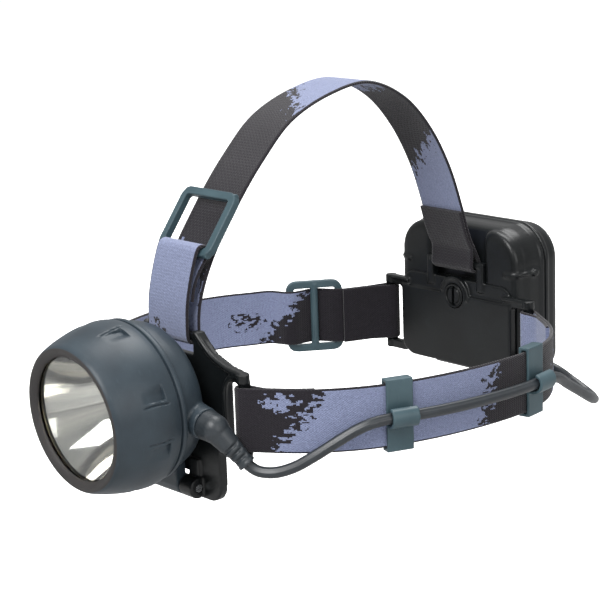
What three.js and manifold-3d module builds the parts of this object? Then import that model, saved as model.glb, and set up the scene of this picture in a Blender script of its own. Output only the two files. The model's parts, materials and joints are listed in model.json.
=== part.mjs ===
// A battery headlamp: a twist-focus lamp on a brow plate, an elastic head harness, a battery case at
// the back of the head and the lead that joins the two. Millimetres, +Z up. The wearer looks along -Y.
// The origin is the middle of the head, level with the middle of the headband.

import * as THREE from 'three';
import { mergeVertices } from 'three/addons/utils/BufferGeometryUtils.js';
import Module from 'manifold-3d';

const wasm = await Module();
wasm.setup();

// ---- driving dimensions -------------------------------------------------------------------------
const GAP = 0.35;                         // clearance between pieces that touch

const LAMP = { y: -80, z: 5, pitch: 4 * Math.PI / 180 };   // where the lamp's axis meets the brow plate
const BEZEL = { back: 18.5, lip: 22, front: 49.4, backR: 32.7, widestR: 33.7, frontR: 27.8 };
const HOUSING = { back: 3, front: 24, outerR: 30.8, innerR: 28.4 };
const REFLECTOR = { neck: 16, mouth: 42.6, neckR: 5.5, mouthR: 25.7, wall: 1.2 };
const LENS = { back: 44.9, front: 46.2, crown: 46.8, radius: 27 };
const BULB = { base: 8, glass: 16.4, tip: 25, radius: 2.8, baseR: 4.4 };
const PIVOT = { depth: 5, drop: 38, pinR: 1.6, knuckleR: 4.2, half: 8, outer: 16 };
const JACK = { depth: 11.3, angle: -9.5 * Math.PI / 180, radius: 6, start: 26.4, face: 34.2, elbow: 40.5 };

const BOOT_END = [48.2, -4.8, -20.6];      // the plug's boot ends here, in the lamp's frame

const BROW = { y0: -80, y1: -76.5, halfW: 27, bottom: -38, top: 20 };
const WEB = { width: 25, thick: 1.4, slot: 13.2, lug: 16.6, postR: 1.7, wrap: 2.85 };
const FRONT_POST = { x: 42, y: -79 };
const REAR_POST = { x: 42.3, y: 79.8 };
const BROW_BAR = { y: -78.2, z: 27 };
const REAR_BAR = { y: 79.3, z: 28.4 };

const CASE = { face: 82, seam: 97, back: 108, halfW: 36, bottom: -20, top: 45, corner: 11, wall: 2 };
const CASE_MID = (CASE.top + CASE.bottom) / 2;
const CASE_H = CASE.top - CASE.bottom;
const HARNESS = { y0: 77.8, y1: 81.6, halfW: 33, bottom: -18, top: 21 };
const LOCK = { z: 13.5, headR: 5.4, shankR: 2, front: 76.6, seat: 79.3, end: 84 };
const HINGE = { y: 97.2, z: -23, pinR: 1.1, knuckleR: 2.6, half: 9.6, outer: 30 };
const CELL = { radius: 7.1, length: 49, bottom: -12.4, y: 92.6, pitch: 14.6, nubR: 2.7, nub: 1.2 };
const LEAD = { radius: 2.2, sides: 8 };
const GLAND = { y: 90, z: -13, radius: 4.2, out: 40.5 };

// ---- helpers ------------------------------------------------------------------------------------

/** Merge shared vertices, drop collapsed triangles and turn the faces outward. */
function tidy(geometry) {
  const bare = geometry.clone();
  bare.deleteAttribute('normal');
  bare.deleteAttribute('uv');
  const merged = mergeVertices(bare, 1e-4);
  const old = merged.index.array;
  const kept = [];
  for (let i = 0; i < old.length; i += 3) {
    const [a, b, c] = [old[i], old[i + 1], old[i + 2]];
    if (a !== b && b !== c && c !== a) kept.push(a, b, c);
  }
  if (signedVolume(merged.attributes.position, kept) < 0) kept.reverse();
  merged.setIndex(kept);
  return merged;
}

function signedVolume(position, index) {
  const [a, b, c] = [new THREE.Vector3(), new THREE.Vector3(), new THREE.Vector3()];
  let sum = 0;
  for (let i = 0; i < index.length; i += 3) {
    a.fromBufferAttribute(position, index[i]);
    b.fromBufferAttribute(position, index[i + 1]);
    c.fromBufferAttribute(position, index[i + 2]);
    sum += a.dot(b.cross(c)) / 6;
  }
  return sum;
}

function solidOf(geometry) {
  const closed = tidy(geometry);
  return new wasm.Manifold(new wasm.Mesh({
    numProp: 3,
    vertProperties: new Float32Array(closed.attributes.position.array),
    triVerts: new Uint32Array(closed.index.array),
  }));
}

function geometryOf(solid) {
  const mesh = solid.getMesh();
  const geometry = new THREE.BufferGeometry();
  geometry.setAttribute('position', new THREE.BufferAttribute(mesh.vertProperties, 3));
  geometry.setIndex(new THREE.BufferAttribute(mesh.triVerts, 1));
  return geometry;
}

const join = (...pieces) => geometryOf(pieces.map(solidOf).reduce((a, b) => a.add(b)));
const cut = (body, ...tools) => geometryOf(tools.map(solidOf).reduce((a, b) => a.subtract(b), solidOf(body)));

/** A turned solid about the local Y axis from [radius, depth] pairs; depth runs towards -Y. */
function turned(profile, segments = 48) {
  const points = profile.map(([r, depth]) => new THREE.Vector2(r, -depth));
  return new THREE.LatheGeometry(points, segments);
}

function box(x0, x1, y0, y1, z0, z1) {
  const geometry = new THREE.BoxGeometry(x1 - x0, y1 - y0, z1 - z0);
  return geometry.translate((x0 + x1) / 2, (y0 + y1) / 2, (z0 + z1) / 2);
}

/** A round bar between two points. */
function rod(from, to, radius, segments = 24, endRadius = radius) {
  const a = new THREE.Vector3(...from);
  const b = new THREE.Vector3(...to);
  const along = b.clone().sub(a);
  const geometry = new THREE.CylinderGeometry(endRadius, radius, along.length(), segments);
  const turn = new THREE.Quaternion().setFromUnitVectors(new THREE.Vector3(0, 1, 0), along.clone().normalize());
  const middle = a.add(b).multiplyScalar(0.5);
  return geometry.applyQuaternion(turn).translate(middle.x, middle.y, middle.z);
}

function roundedRect(halfW, halfH, radius) {
  const shape = new THREE.Shape();
  const [x, y] = [halfW - radius, halfH - radius];
  shape.absarc(x, y, radius, 0, Math.PI / 2);
  shape.absarc(-x, y, radius, Math.PI / 2, Math.PI);
  shape.absarc(-x, -y, radius, Math.PI, 1.5 * Math.PI);
  shape.absarc(x, -y, radius, 1.5 * Math.PI, 2 * Math.PI);
  shape.closePath();
  return shape;
}

/** A rounded rectangle in the XZ plane, extruded from y0 to y1. */
function slab(halfW, halfH, radius, y0, y1, x, z, corner = 6) {
  const shape = roundedRect(halfW, halfH, radius);
  const geometry = new THREE.ExtrudeGeometry(shape, { depth: y1 - y0, bevelEnabled: false, curveSegments: corner });
  return geometry.rotateX(Math.PI / 2).translate(x, y1, z);
}

/** The closed outline of a webbing strap's edge, from the middle line of its thickness. */
function strapOutline(middle, thick) {
  const sides = [[], []];
  middle.forEach((point, i) => {
    const before = middle[Math.max(i - 1, 0)];
    const after = middle[Math.min(i + 1, middle.length - 1)];
    const along = after.clone().sub(before).normalize();
    const across = new THREE.Vector2(-along.y, along.x).multiplyScalar(thick / 2);
    sides[0].push(point.clone().add(across));
    sides[1].unshift(point.clone().sub(across));
  });
  return new THREE.Shape([...sides[0], ...sides[1]]);
}

const smooth = (points, steps) => new THREE.SplineCurve(points.map(([a, b]) => new THREE.Vector2(a, b))).getSpacedPoints(steps);

/** A level strap, drawn in the XY plane and standing WEB.width tall about z = 0. */
function levelStrap(middle) {
  const geometry = new THREE.ExtrudeGeometry(strapOutline(middle, WEB.thick), { depth: WEB.width, bevelEnabled: false });
  return geometry.translate(0, 0, -WEB.width / 2);
}

/** A strap over the head, drawn in the YZ plane and WEB.width wide about x = 0. */
function crownStrap(middle) {
  const geometry = new THREE.ExtrudeGeometry(strapOutline(middle, WEB.thick), { depth: WEB.width, bevelEnabled: false });
  const toYZ = new THREE.Matrix4().makeBasis(
    new THREE.Vector3(0, 1, 0), new THREE.Vector3(0, 0, 1), new THREE.Vector3(1, 0, 0));
  return geometry.applyMatrix4(toYZ).translate(-WEB.width / 2, 0, 0);
}

/** A round cord of one radius along a smooth route. */
function cord(points, radius, sides, steps) {
  const path = new THREE.CatmullRomCurve3(points.map((p) => new THREE.Vector3(...p)), false, 'centripetal');
  const section = new THREE.Shape();
  section.absarc(0, 0, radius, 0, 2 * Math.PI);
  return new THREE.ExtrudeGeometry(section, { steps, extrudePath: path, curveSegments: sides / 2 });
}

/** A compression spring about a line along +Y or +Z, as a coiled wire. */
function coil(radius, wire, length, turns, axis) {
  const points = [];
  const perTurn = 8;
  for (let i = 0; i <= turns * perTurn; i += 1) {
    const angle = i / perTurn * 2 * Math.PI;
    const rise = wire + (length - 2 * wire) * i / (turns * perTurn);
    const [c, s] = [radius * Math.cos(angle), radius * Math.sin(angle)];
    points.push(axis === 'z' ? [c, s, rise] : [c, rise, s]);
  }
  return cord(points, wire, 6, points.length - 1);
}

// ---- materials ----------------------------------------------------------------------------------
const plastic = { color: 0x33383b, roughness: 0.5, metalness: 0 };
const blackPlastic = { color: 0x17191a, roughness: 0.45, metalness: 0 };
const tealPlastic = { color: 0x5b787c, roughness: 0.5, metalness: 0 };
const webbing = { color: 0x8e97b5, roughness: 0.9, metalness: 0 };
const darkWebbing = { color: 0x2b272d, roughness: 0.9, metalness: 0 };
const rubber = { color: 0x101112, roughness: 0.8, metalness: 0 };
const greyRubber = { color: 0x474c52, roughness: 0.55, metalness: 0 };
const mirror = { color: 0xe8e8e6, roughness: 0.08, metalness: 1 };
const clear = { color: 0xf4f6f6, roughness: 0.03, metalness: 0 };
const brass = { color: 0xb39148, roughness: 0.35, metalness: 1 };
const steel = { color: 0xb4b6b8, roughness: 0.3, metalness: 1 };
const jacket = { color: 0x2f5a8c, roughness: 0.35, metalness: 0 };
const foam = { color: 0x1c1c1e, roughness: 0.95, metalness: 0 };

const headlamp = new THREE.Group();
const lamp = new THREE.Group();
lamp.position.set(0, LAMP.y, LAMP.z);
lamp.rotation.x = LAMP.pitch;
headlamp.add(lamp);

function add(parent, name, geometry, finish) {
  const mesh = new THREE.Mesh(tidy(geometry), new THREE.MeshStandardMaterial(finish));
  mesh.name = name;
  parent.add(mesh);
  return mesh;
}

// ---- lamp ---------------------------------------------------------------------------------------

/** The dome behind the bezel, with its hinge lug under the back and the jack boss on the left. */
function lampHousing() {
  const { back, front, outerR, innerR } = HOUSING;
  const shell = turned([[0, back], [19, back], [23.6, back + 1.2], [27.6, back + 5], [29.8, back + 10], [outerR, back + 15],
    [outerR, 19.6], [29.5, 19.6], [29.5, 22.4], [outerR, 22.4], [outerR, front], [innerR, front], [innerR, back + 15.5],
    [27.4, back + 10.5], [25, back + 6], [21.4, back + 3.2], [0, back + 3]], 32);
  const lug = join(
    rod([-PIVOT.half, -PIVOT.depth, -PIVOT.drop], [PIVOT.half, -PIVOT.depth, -PIVOT.drop], PIVOT.knuckleR),
    box(-PIVOT.half, PIVOT.half, -9.5, -PIVOT.depth + 0.5, -PIVOT.drop, -22.5));
  const pinHole = rod([-20, -PIVOT.depth, -PIVOT.drop], [20, -PIVOT.depth, -PIVOT.drop], PIVOT.pinR + GAP);
  const [c, s] = [Math.cos(JACK.angle), Math.sin(JACK.angle)];
  const outward = (r) => [r * c, -JACK.depth, r * s];
  const boss = rod(outward(JACK.start), outward(JACK.face), JACK.radius + 0.6, 28);
  const leadHole = rod(outward(JACK.start - 6), outward(JACK.face + 1), 1.6, 12);
  return cut(join(shell, lug, boss), pinHole, leadHole);
}

/** A grip mark: a shallow pocket cut into the bezel's cone at one angle. */
function gripPocket(angle) {
  const pocket = new THREE.BoxGeometry(5.4, 8, 1.6);
  pocket.rotateX(-0.19).translate(0, -32.5, 34.3);
  return pocket.rotateY(angle);
}

function bezel() {
  const { back, lip, front, backR, widestR, frontR } = BEZEL;
  const shell = turned([[31.2, back], [backR - 0.5, back], [backR, back + 0.6], [backR, lip], [backR + 0.4, lip + 1],
    [widestR, 28], [widestR - 0.5, 34.5], [31.7, 41], [29.8, 46.5], [frontR + 0.7, front - 1], [frontR - 0.5, front],
    [26.4, front], [24.9, 48.4], [24.9, 47.1], [27.5, 47.1], [27.5, 44], [29.8, 34], [31.2, 28], [31.2, back]], 40);
  const marks = 8;
  return cut(shell, ...Array.from({ length: marks }, (_, i) => gripPocket((i + 0.5) * 2 * Math.PI / marks)));
}

/** A deep paraboloid whose focus is the filament, with a flange that the lens clamps. */
function reflector() {
  const { neck, mouth, neckR, mouthR, wall } = REFLECTOR;
  const steps = 7;
  const slope = (mouthR ** 2 - neckR ** 2) / (mouth - neck);
  const bowl = (extra) => Array.from({ length: steps + 1 }, (_, i) => {
    const depth = neck + (mouth - neck) * (i / steps) ** 1.5;
    return [Math.sqrt(neckR ** 2 + slope * (depth - neck)) + extra, depth];
  });
  const inner = bowl(0);
  const outer = bowl(wall).reverse();
  return turned([...inner, [mouthR, mouth + 1], [LENS.radius - 0.1, mouth + 1], [LENS.radius - 0.1, mouth], ...outer,
    [neckR, neck]], 32);
}

function lens() {
  const { back, front, crown, radius } = LENS;
  return turned([[0, back], [radius, back], [radius, front], [24.4, front + 0.1], [17, crown - 0.25], [9, crown - 0.05],
    [0, crown]], 32);
}

const lensGasket = () => turned([[25.4, 43.9], [27.2, 43.9], [27.2, 44.6], [25.4, 44.6], [25.4, 43.9]], 32);

function oRing(ringR, depth, wire, segments) {
  const profile = Array.from({ length: 7 }, (_, i) => {
    const angle = i / 6 * 2 * Math.PI;
    return [ringR + wire * Math.cos(angle), depth + wire * Math.sin(angle)];
  });
  return turned(profile, segments);
}

const bulbHolder = () => turned([[BULB.baseR + GAP, 6.4], [9, 6.4], [9, 9], [7, 12.5], [BULB.baseR + GAP, 12.5],
  [BULB.baseR + GAP, 6.4]], 32);

const bulbBase = () => turned([[0, BULB.base], [2, BULB.base], [2, BULB.base + 1], [BULB.baseR, BULB.base + 1],
  [BULB.baseR, 13], [BULB.baseR + 0.5, 13], [BULB.baseR + 0.5, 14], [3.6, 14], [3.6, 16], [0, 16]], 24);

function bulbGlass() {
  const { glass, tip, radius } = BULB;
  const nose = Array.from({ length: 6 }, (_, i) => {
    const angle = i / 5 * Math.PI / 2;
    return [radius * Math.cos(angle), tip - radius + radius * Math.sin(angle)];
  });
  return turned([[0, glass], [radius, glass], ...nose], 20);
}

const bulbSpring = () => coil(1.6, 0.18, 1.3, 1.5, 'y').rotateX(Math.PI).translate(0, -6.3, 0);

/** The right-angle plug: a round body square to the jack and a tapered boot that turns back and down. */
function leadPlug() {
  const [c, s] = [Math.cos(JACK.angle), Math.sin(JACK.angle)];
  const outward = (r) => [r * c, -JACK.depth, r * s];
  const body = rod(outward(JACK.face + GAP), outward(JACK.elbow + 2.5), JACK.radius, 28, JACK.radius - 0.8);
  const boot = rod(outward(JACK.elbow - 1.5), BOOT_END, 4.6, 20, 3.1);
  return join(body, boot);
}

// ---- brow plate and the tilt hinge --------------------------------------------------------------

/** A point of the lamp's own frame, in the headlamp's frame. */
function fromLamp(x, y, z) {
  lamp.updateMatrixWorld(true);
  return new THREE.Vector3(x, y, z).applyMatrix4(lamp.matrixWorld);
}

const pivot = fromLamp(0, -PIVOT.depth, -PIVOT.drop);

/** A box given by its two X faces in either order. */
const spanX = (xa, xb, y0, y1, z0, z1) => box(Math.min(xa, xb), Math.max(xa, xb), y0, y1, z0, z1);

/** Two arms at one side of a plate, and the post between them that a strap loops round. */
function lugArms(side, post, y0, y1, inner) {
  const frame = spanX(side * inner, side * (post.x + 1.6), y0, y1, -WEB.lug, WEB.lug);
  const slot = spanX(side * (post.x - 8.2), side * (post.x + 10), y0 - 2, y1 + 2, -WEB.slot, WEB.slot);
  const reach = WEB.lug - 1;
  const bar = rod([side * post.x, post.y, -reach], [side * post.x, post.y, reach], WEB.postR, 16);
  return join(cut(frame, slot), bar);
}

/** Two arms at the top of a plate, and the bar between them for the crown strap. */
function topBar(bar, y0, y1, from) {
  const arm = (side) => spanX(side * 13.4, side * 17, y0, y1, from, bar.z + 1.6);
  return join(arm(-1), arm(1), rod([-15, bar.y, bar.z], [15, bar.y, bar.z], WEB.postR, 16));
}

function browPlate() {
  const { y0, y1, halfW, bottom, top } = BROW;
  const plate = slab(halfW, (top - bottom) / 2, 9, y0, y1, 0, (top + bottom) / 2);
  const knuckle = (side) => rod([side * (PIVOT.half + GAP), pivot.y, pivot.z], [side * PIVOT.outer, pivot.y, pivot.z],
    PIVOT.knuckleR);
  const notch = box(-PIVOT.half - GAP, PIVOT.half + GAP, y0 - 1, y1 + 1, bottom - 5, pivot.z + PIVOT.knuckleR + 1);
  const pinHole = rod([-40, pivot.y, pivot.z], [40, pivot.y, pivot.z], PIVOT.pinR + GAP);
  const body = join(plate, knuckle(-1), knuckle(1), lugArms(1, FRONT_POST, y0, y1, halfW - 6),
    lugArms(-1, FRONT_POST, y0, y1, halfW - 6), topBar(BROW_BAR, y0, y1, top - 3));
  return cut(body, notch, pinHole);
}

const tiltPin = () => rod([-PIVOT.outer, pivot.y, pivot.z], [PIVOT.outer, pivot.y, pivot.z], PIVOT.pinR, 16);

const browPad = () => slab(BROW.halfW - 2, 17, 8, BROW.y1 + GAP, BROW.y1 + 4.3, 0, 1);

// ---- webbing ------------------------------------------------------------------------------------
const NEAR_ROUTE = [[44.2, -81.2], [62.5, -66.5], [77, -46], [85, -20], [88, 8], [86.5, 32], [80, 50], [67, 66.5],
  [45.4, 81.4]];
const FAR_ROUTE = [[-44.2, -81.2], [-62.5, -66.5], [-77, -46], [-85, -20], [-87, -2], [-84, 15], [-76, 30.5], [-66, 45.5],
  [-56, 61.5], [-46, 79.6]];
const CROWN_ROUTE = [[77.6, 31.6], [75.9, 40], [71.6, 54], [64, 74], [52.6, 92.7], [38, 107], [18, 115.3], [-4, 112.6],
  [-25, 104], [-40, 90.5], [-49.5, 80], [-58, 69], [-65.5, 58.5], [-71.5, 47], [-74.9, 36], [-75.4, 27.6]];

/** The crown strap goes under the brow bar and comes back up in front to the buckle's lower bar. */
function crownMiddle() {
  const run = smooth(CROWN_ROUTE, 52);
  const turn = Array.from({ length: 5 }, (_, i) => {
    const angle = -Math.PI / 6 * (i + 1);
    return new THREE.Vector2(BROW_BAR.y + WEB.wrap * Math.cos(angle), BROW_BAR.z + WEB.wrap * Math.sin(angle));
  });
  const front = smooth([[-81.05, 28], [-80.7, 35], [-78.9, 44], [-76.6, 51.5]], 8);
  return [...run, ...turn, ...front];
}

// ---- buckles and keepers ------------------------------------------------------------------------

/** A flat slider in the XY plane: an open frame, with or without a bar across its middle. */
function slider(halfL, halfW, bar, thick, middleBar) {
  const frame = new THREE.ExtrudeGeometry(roundedRect(halfL, halfW, 4),
    { depth: thick, bevelEnabled: false, curveSegments: 5 }).translate(0, 0, -thick / 2);
  const [inner, reach] = [halfL - bar, halfW - bar];
  const window = (x0, x1) => box(x0, x1, -reach, reach, -thick, thick);
  const windows = middleBar ? [window(-inner, -bar / 2), window(bar / 2, inner)] : [window(-inner, inner)];
  return cut(frame, ...windows);
}

/** Stand a flat slider on a strap: `along` is the strap's direction, `out` points away from the head. */
function placed(geometry, centre, along, out) {
  const x = new THREE.Vector3(...along).normalize();
  const z = new THREE.Vector3(...out).normalize();
  const y = z.clone().cross(x);
  return geometry.applyMatrix4(new THREE.Matrix4().makeBasis(x, y, z)).translate(...centre);
}

const crownBuckle = () => placed(slider(14, 16.5, 3.2, 3, false), [0, -64.6, 68.6], [0, 0.6, 0.8], [0, -0.8, 0.6]);

const bandBuckle = () => placed(slider(13, 16.5, 3.4, 2.6, true), [-60.9, 48.2, 0], [0.54, 0.84, 0], [0.84, -0.54, 0]);

/** A keeper: a flat sleeve round the strap with a small hook outside for the lead. */
function keeper(centre, along) {
  const [half, wall] = [5.5, 1.2];
  const [inner, outerW] = [WEB.thick / 2 + 0.5, WEB.width / 2 + GAP];
  const sleeve = cut(box(-half, half, -inner - wall, inner + wall, -outerW - wall, outerW + wall),
    box(-half - 1, half + 1, -inner, inner, -outerW, outerW));
  const hookOut = inner + wall + 2 * LEAD.radius + 2 * GAP;
  const hook = cut(box(-half, half, -hookOut - wall, -inner - wall + 0.4, -4.2, 4.2),
    box(-half - 1, half + 1, -hookOut, -inner - wall, -LEAD.radius - GAP, LEAD.radius + GAP),
    box(-half - 1, half + 1, -hookOut + 1, -inner - wall, 0, 10));
  const angle = Math.atan2(along[1], along[0]);
  return join(sleeve, hook).rotateZ(angle).translate(centre[0], centre[1], 0);
}

// ---- battery case -------------------------------------------------------------------------------

/** The plate that the harness is threaded through, on the head side of the case. */
function harnessPlate() {
  const { y0, y1, halfW, bottom, top } = HARNESS;
  const plate = slab(halfW, (top - bottom) / 2, 6, y0, y1, 0, (top + bottom) / 2);
  const body = join(plate, lugArms(1, REAR_POST, y0, y1, halfW - 4), lugArms(-1, REAR_POST, y0, y1, halfW - 4),
    topBar(REAR_BAR, y0, y1, top - 3));
  const seat = rod([0, y0 - 1, LOCK.z], [0, LOCK.seat + GAP, LOCK.z], LOCK.headR + GAP, 28);
  const hole = rod([0, y0 - 1, LOCK.z], [0, y1 + 1, LOCK.z], LOCK.shankR + GAP, 16);
  return cut(body, seat, hole);
}

/** The screw that holds the case to the plate, with a slot for a coin. */
function lockScrew() {
  const head = rod([0, LOCK.front, LOCK.z], [0, LOCK.seat, LOCK.z], LOCK.headR, 28);
  const shank = rod([0, LOCK.seat - 0.5, LOCK.z], [0, LOCK.end, LOCK.z], LOCK.shankR, 16);
  return cut(join(head, shank), box(-0.8, 0.8, LOCK.front - 1, LOCK.front + 1.2, LOCK.z - 6, LOCK.z + 6));
}

function caseShell(outerY0, outerY1, innerY0, innerY1) {
  const { halfW, corner, wall } = CASE;
  const outside = slab(halfW, CASE_H / 2, corner, outerY0, outerY1, 0, CASE_MID);
  const inside = slab(halfW - wall, CASE_H / 2 - wall, corner - wall, innerY0, innerY1, 0, CASE_MID);
  return cut(outside, inside);
}

function hingeKnuckle(x0, x1, y0, y1) {
  return join(rod([x0, HINGE.y, HINGE.z], [x1, HINGE.y, HINGE.z], HINGE.knuckleR, 20),
    box(x0, x1, y0, y1, HINGE.z, CASE.bottom + 1));
}

const hingeHole = () => rod([-50, HINGE.y, HINGE.z], [50, HINGE.y, HINGE.z], HINGE.pinR + GAP, 16);

/** The half of the case against the head: floor, walls, hinge knuckles, lead hole and side nubs. */
function caseBody() {
  const shell = caseShell(CASE.face, CASE.seam, CASE.face + CASE.wall, CASE.seam + 1);
  const { half, outer } = HINGE;
  const knuckles = [1, -1].map((side) => hingeKnuckle(Math.min(side * (half + GAP), side * outer),
    Math.max(side * (half + GAP), side * outer), HINGE.y - 2.4, HINGE.y - 0.2));
  const nubs = [1, -1].map((side) => rod([side * 34.5, 90, 27], [side * 38.2, 90, 27], 1.6, 14));
  const screwHole = rod([0, CASE.face - 1, LOCK.z], [0, CASE.face + 3, LOCK.z], LOCK.shankR + GAP, 16);
  const leadHole = rod([CASE.halfW - 4, GLAND.y, GLAND.z], [CASE.halfW + 2, GLAND.y, GLAND.z], LEAD.radius + GAP + 0.9, 16);
  return cut(join(shell, ...knuckles, ...nubs), screwHole, leadHole, hingeHole());
}

function caseCover() {
  const shell = caseShell(CASE.seam + GAP, CASE.back, CASE.seam - 1, CASE.back - CASE.wall);
  const knuckle = hingeKnuckle(-HINGE.half, HINGE.half, HINGE.y + 0.2, HINGE.y + 2.6);
  return cut(join(shell, knuckle), hingeHole());
}

const coverPin = () => rod([-HINGE.outer, HINGE.y, HINGE.z], [HINGE.outer, HINGE.y, HINGE.z], HINGE.pinR, 14);

/** A flat seal inside the body's rim. */
function caseGasket() {
  const { halfW, corner, wall, seam } = CASE;
  const [outW, outH] = [halfW - wall - GAP, CASE_H / 2 - wall - GAP];
  return cut(slab(outW, outH, corner - wall - GAP, seam - 1.6, seam - 0.3, 0, CASE_MID),
    slab(outW - 1.1, outH - 1.1, corner - wall - 1.4, seam - 3, seam + 1, 0, CASE_MID));
}

/** The cradle that holds the four cells and their contacts. */
function cellCradle() {
  const floor = box(-27, 27, 84.4, 85.1, -17.4, 42.4);
  const ends = [[-17.4, -15.9], [40.9, 42.4]].map(([z0, z1]) => box(-27, 27, 84.6, 94, z0, z1));
  const screwHole = rod([0, 80, LOCK.z], [0, 90, LOCK.z], LOCK.shankR + GAP, 12);
  return cut(join(floor, ...ends), screwHole);
}

function cell(column) {
  const { radius, length, bottom, y, pitch, nubR, nub } = CELL;
  const upright = column % 2 === 0;
  const profile = [[0, 0], [radius, 0], [radius, length], [nubR, length], [nubR, length + nub], [0, length + nub]];
  const geometry = turned(profile, 20).rotateX(-Math.PI / 2);
  if (!upright) geometry.rotateX(Math.PI).translate(0, 0, length + nub);
  return geometry.translate((column - 1.5) * pitch, y, bottom);
}

const cellSpring = (column) => coil(2.6, 0.35, 2.7, 2, 'z').translate((column - 1.5) * CELL.pitch, CELL.y, -15.5);

const contactStrip = (side) => spanX(side * 2, side * 25.6, 87, 94, 39.9, 40.5);

/** The tapered grommet where the lead leaves the case. */
function leadGland() {
  const root = [CASE.halfW + GAP, GLAND.y, GLAND.z];
  const collar = rod(root, [GLAND.out, GLAND.y, GLAND.z], GLAND.radius, 20, 3);
  const neck = rod([CASE.halfW - 3, GLAND.y, GLAND.z], [CASE.halfW + 1, GLAND.y, GLAND.z], LEAD.radius + 0.8, 16);
  return join(collar, neck);
}

// The lead's route, from the plug's boot, along the left strap through both keepers, to the gland.
const LEAD_ROUTE = [[48.7, -82.9, -16.5], [51.6, -81.1, -18.4], [56.4, -77.6, -18.8], [62.4, -72.8, -16.6],
  [68.4, -67, -12], [73.6, -60.6, -7], [78, -54, -2.8], [81, -49, -0.8], [83.6, -42.4, 0], [87.1, -32, 0], [90, -20, 0],
  [92, -6, 0], [92.8, 8, 0], [92.6, 20, 0], [91.8, 28.4, 0], [89.9, 39.8, 0], [87.7, 47.6, -2], [85, 56, -6.6],
  [82.2, 66, -12], [78.4, 78, -18.4], [72.4, 87.6, -22.2], [64, 93.6, -22.6], [55, 94, -19.2], [47.6, 91.4, -14.6],
  [41.1, 90.1, -13]];

const powerLead = () => cord(LEAD_ROUTE, LEAD.radius, LEAD.sides, 42);

// ---- assembly -----------------------------------------------------------------------------------
add(lamp, 'lamp_housing', lampHousing(), plastic);
add(lamp, 'bezel', bezel(), plastic);
add(lamp, 'reflector', reflector(), mirror);
add(lamp, 'lens', lens(), clear);
add(lamp, 'lens_gasket', lensGasket(), rubber);
add(lamp, 'housing_o_ring', oRing(30.45, 21, 0.55, 32), rubber);
add(lamp, 'bulb_holder', bulbHolder(), blackPlastic);
add(lamp, 'bulb_base', bulbBase(), brass);
add(lamp, 'bulb_glass', bulbGlass(), clear);
add(lamp, 'bulb_spring', bulbSpring(), steel);
add(lamp, 'lead_plug', leadPlug(), greyRubber);

add(headlamp, 'brow_plate', browPlate(), blackPlastic);
add(headlamp, 'brow_pad', browPad(), foam);
add(headlamp, 'tilt_pin', tiltPin(), steel);
add(headlamp, 'near_band', levelStrap(smooth(NEAR_ROUTE, 34)), webbing);
add(headlamp, 'far_band', levelStrap(smooth(FAR_ROUTE, 34)), webbing);
add(headlamp, 'crown_strap', crownStrap(crownMiddle()), darkWebbing);
add(headlamp, 'crown_buckle', crownBuckle(), tealPlastic);
add(headlamp, 'band_buckle', bandBuckle(), tealPlastic);
add(headlamp, 'lead_keeper_front', keeper([80.8, -35.7], [0.32, 0.947]), tealPlastic);
add(headlamp, 'lead_keeper_rear', keeper([86.15, 33], [-0.19, 0.982]), tealPlastic);

add(headlamp, 'harness_plate', harnessPlate(), blackPlastic);
add(headlamp, 'lock_screw', lockScrew(), blackPlastic);
add(headlamp, 'case_body', caseBody(), blackPlastic);
add(headlamp, 'case_gasket', caseGasket(), rubber);
add(headlamp, 'case_cover', caseCover(), blackPlastic);
add(headlamp, 'cover_pin', coverPin(), steel);
add(headlamp, 'cell_cradle', cellCradle(), blackPlastic);
for (let column = 0; column < 4; column += 1) {
  add(headlamp, `cell_${column + 1}`, cell(column), jacket);
  add(headlamp, `cell_spring_${column + 1}`, cellSpring(column), steel);
}
add(headlamp, 'contact_strip_left', contactStrip(1), brass);
add(headlamp, 'contact_strip_right', contactStrip(-1), brass);
add(headlamp, 'lead_gland', leadGland(), rubber);
add(headlamp, 'power_lead', powerLead(), greyRubber);

export default headlamp;
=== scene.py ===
"""A battery headlamp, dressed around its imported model.

A twist-focus lamp on a brow plate, an elastic head harness, a battery case behind the head and the lead
between them. Sizes in the classes are millimetres and become metres as a mesh is made. +Z is up, the
wearer looks along -Y, and +X is the wearer's left, where the lead runs.
"""
import json
import logging
import math
from dataclasses import dataclass
from enum import Enum
from typing import Callable, Iterable, Sequence

import bmesh
import bpy
import numpy as np
from mathutils import Matrix, Vector


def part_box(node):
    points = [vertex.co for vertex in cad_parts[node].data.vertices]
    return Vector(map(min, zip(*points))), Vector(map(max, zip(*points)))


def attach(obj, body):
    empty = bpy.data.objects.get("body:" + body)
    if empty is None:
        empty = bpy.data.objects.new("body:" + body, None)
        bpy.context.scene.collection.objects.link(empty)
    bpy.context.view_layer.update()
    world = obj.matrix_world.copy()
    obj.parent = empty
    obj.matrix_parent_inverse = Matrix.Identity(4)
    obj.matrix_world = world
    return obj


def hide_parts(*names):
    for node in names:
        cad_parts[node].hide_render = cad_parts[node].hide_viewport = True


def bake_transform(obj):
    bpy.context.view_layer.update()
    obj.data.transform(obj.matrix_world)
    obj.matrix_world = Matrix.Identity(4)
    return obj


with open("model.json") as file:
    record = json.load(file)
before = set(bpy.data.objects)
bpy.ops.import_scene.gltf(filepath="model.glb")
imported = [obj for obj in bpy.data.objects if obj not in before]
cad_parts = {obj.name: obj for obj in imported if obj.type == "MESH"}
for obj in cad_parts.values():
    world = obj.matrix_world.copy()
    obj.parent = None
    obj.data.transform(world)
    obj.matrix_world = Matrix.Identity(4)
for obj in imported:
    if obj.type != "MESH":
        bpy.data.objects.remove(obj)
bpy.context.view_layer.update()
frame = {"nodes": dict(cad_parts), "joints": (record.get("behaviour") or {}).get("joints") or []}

MM = 0.001
LOG = logging.getLogger("headlamp")

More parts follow.
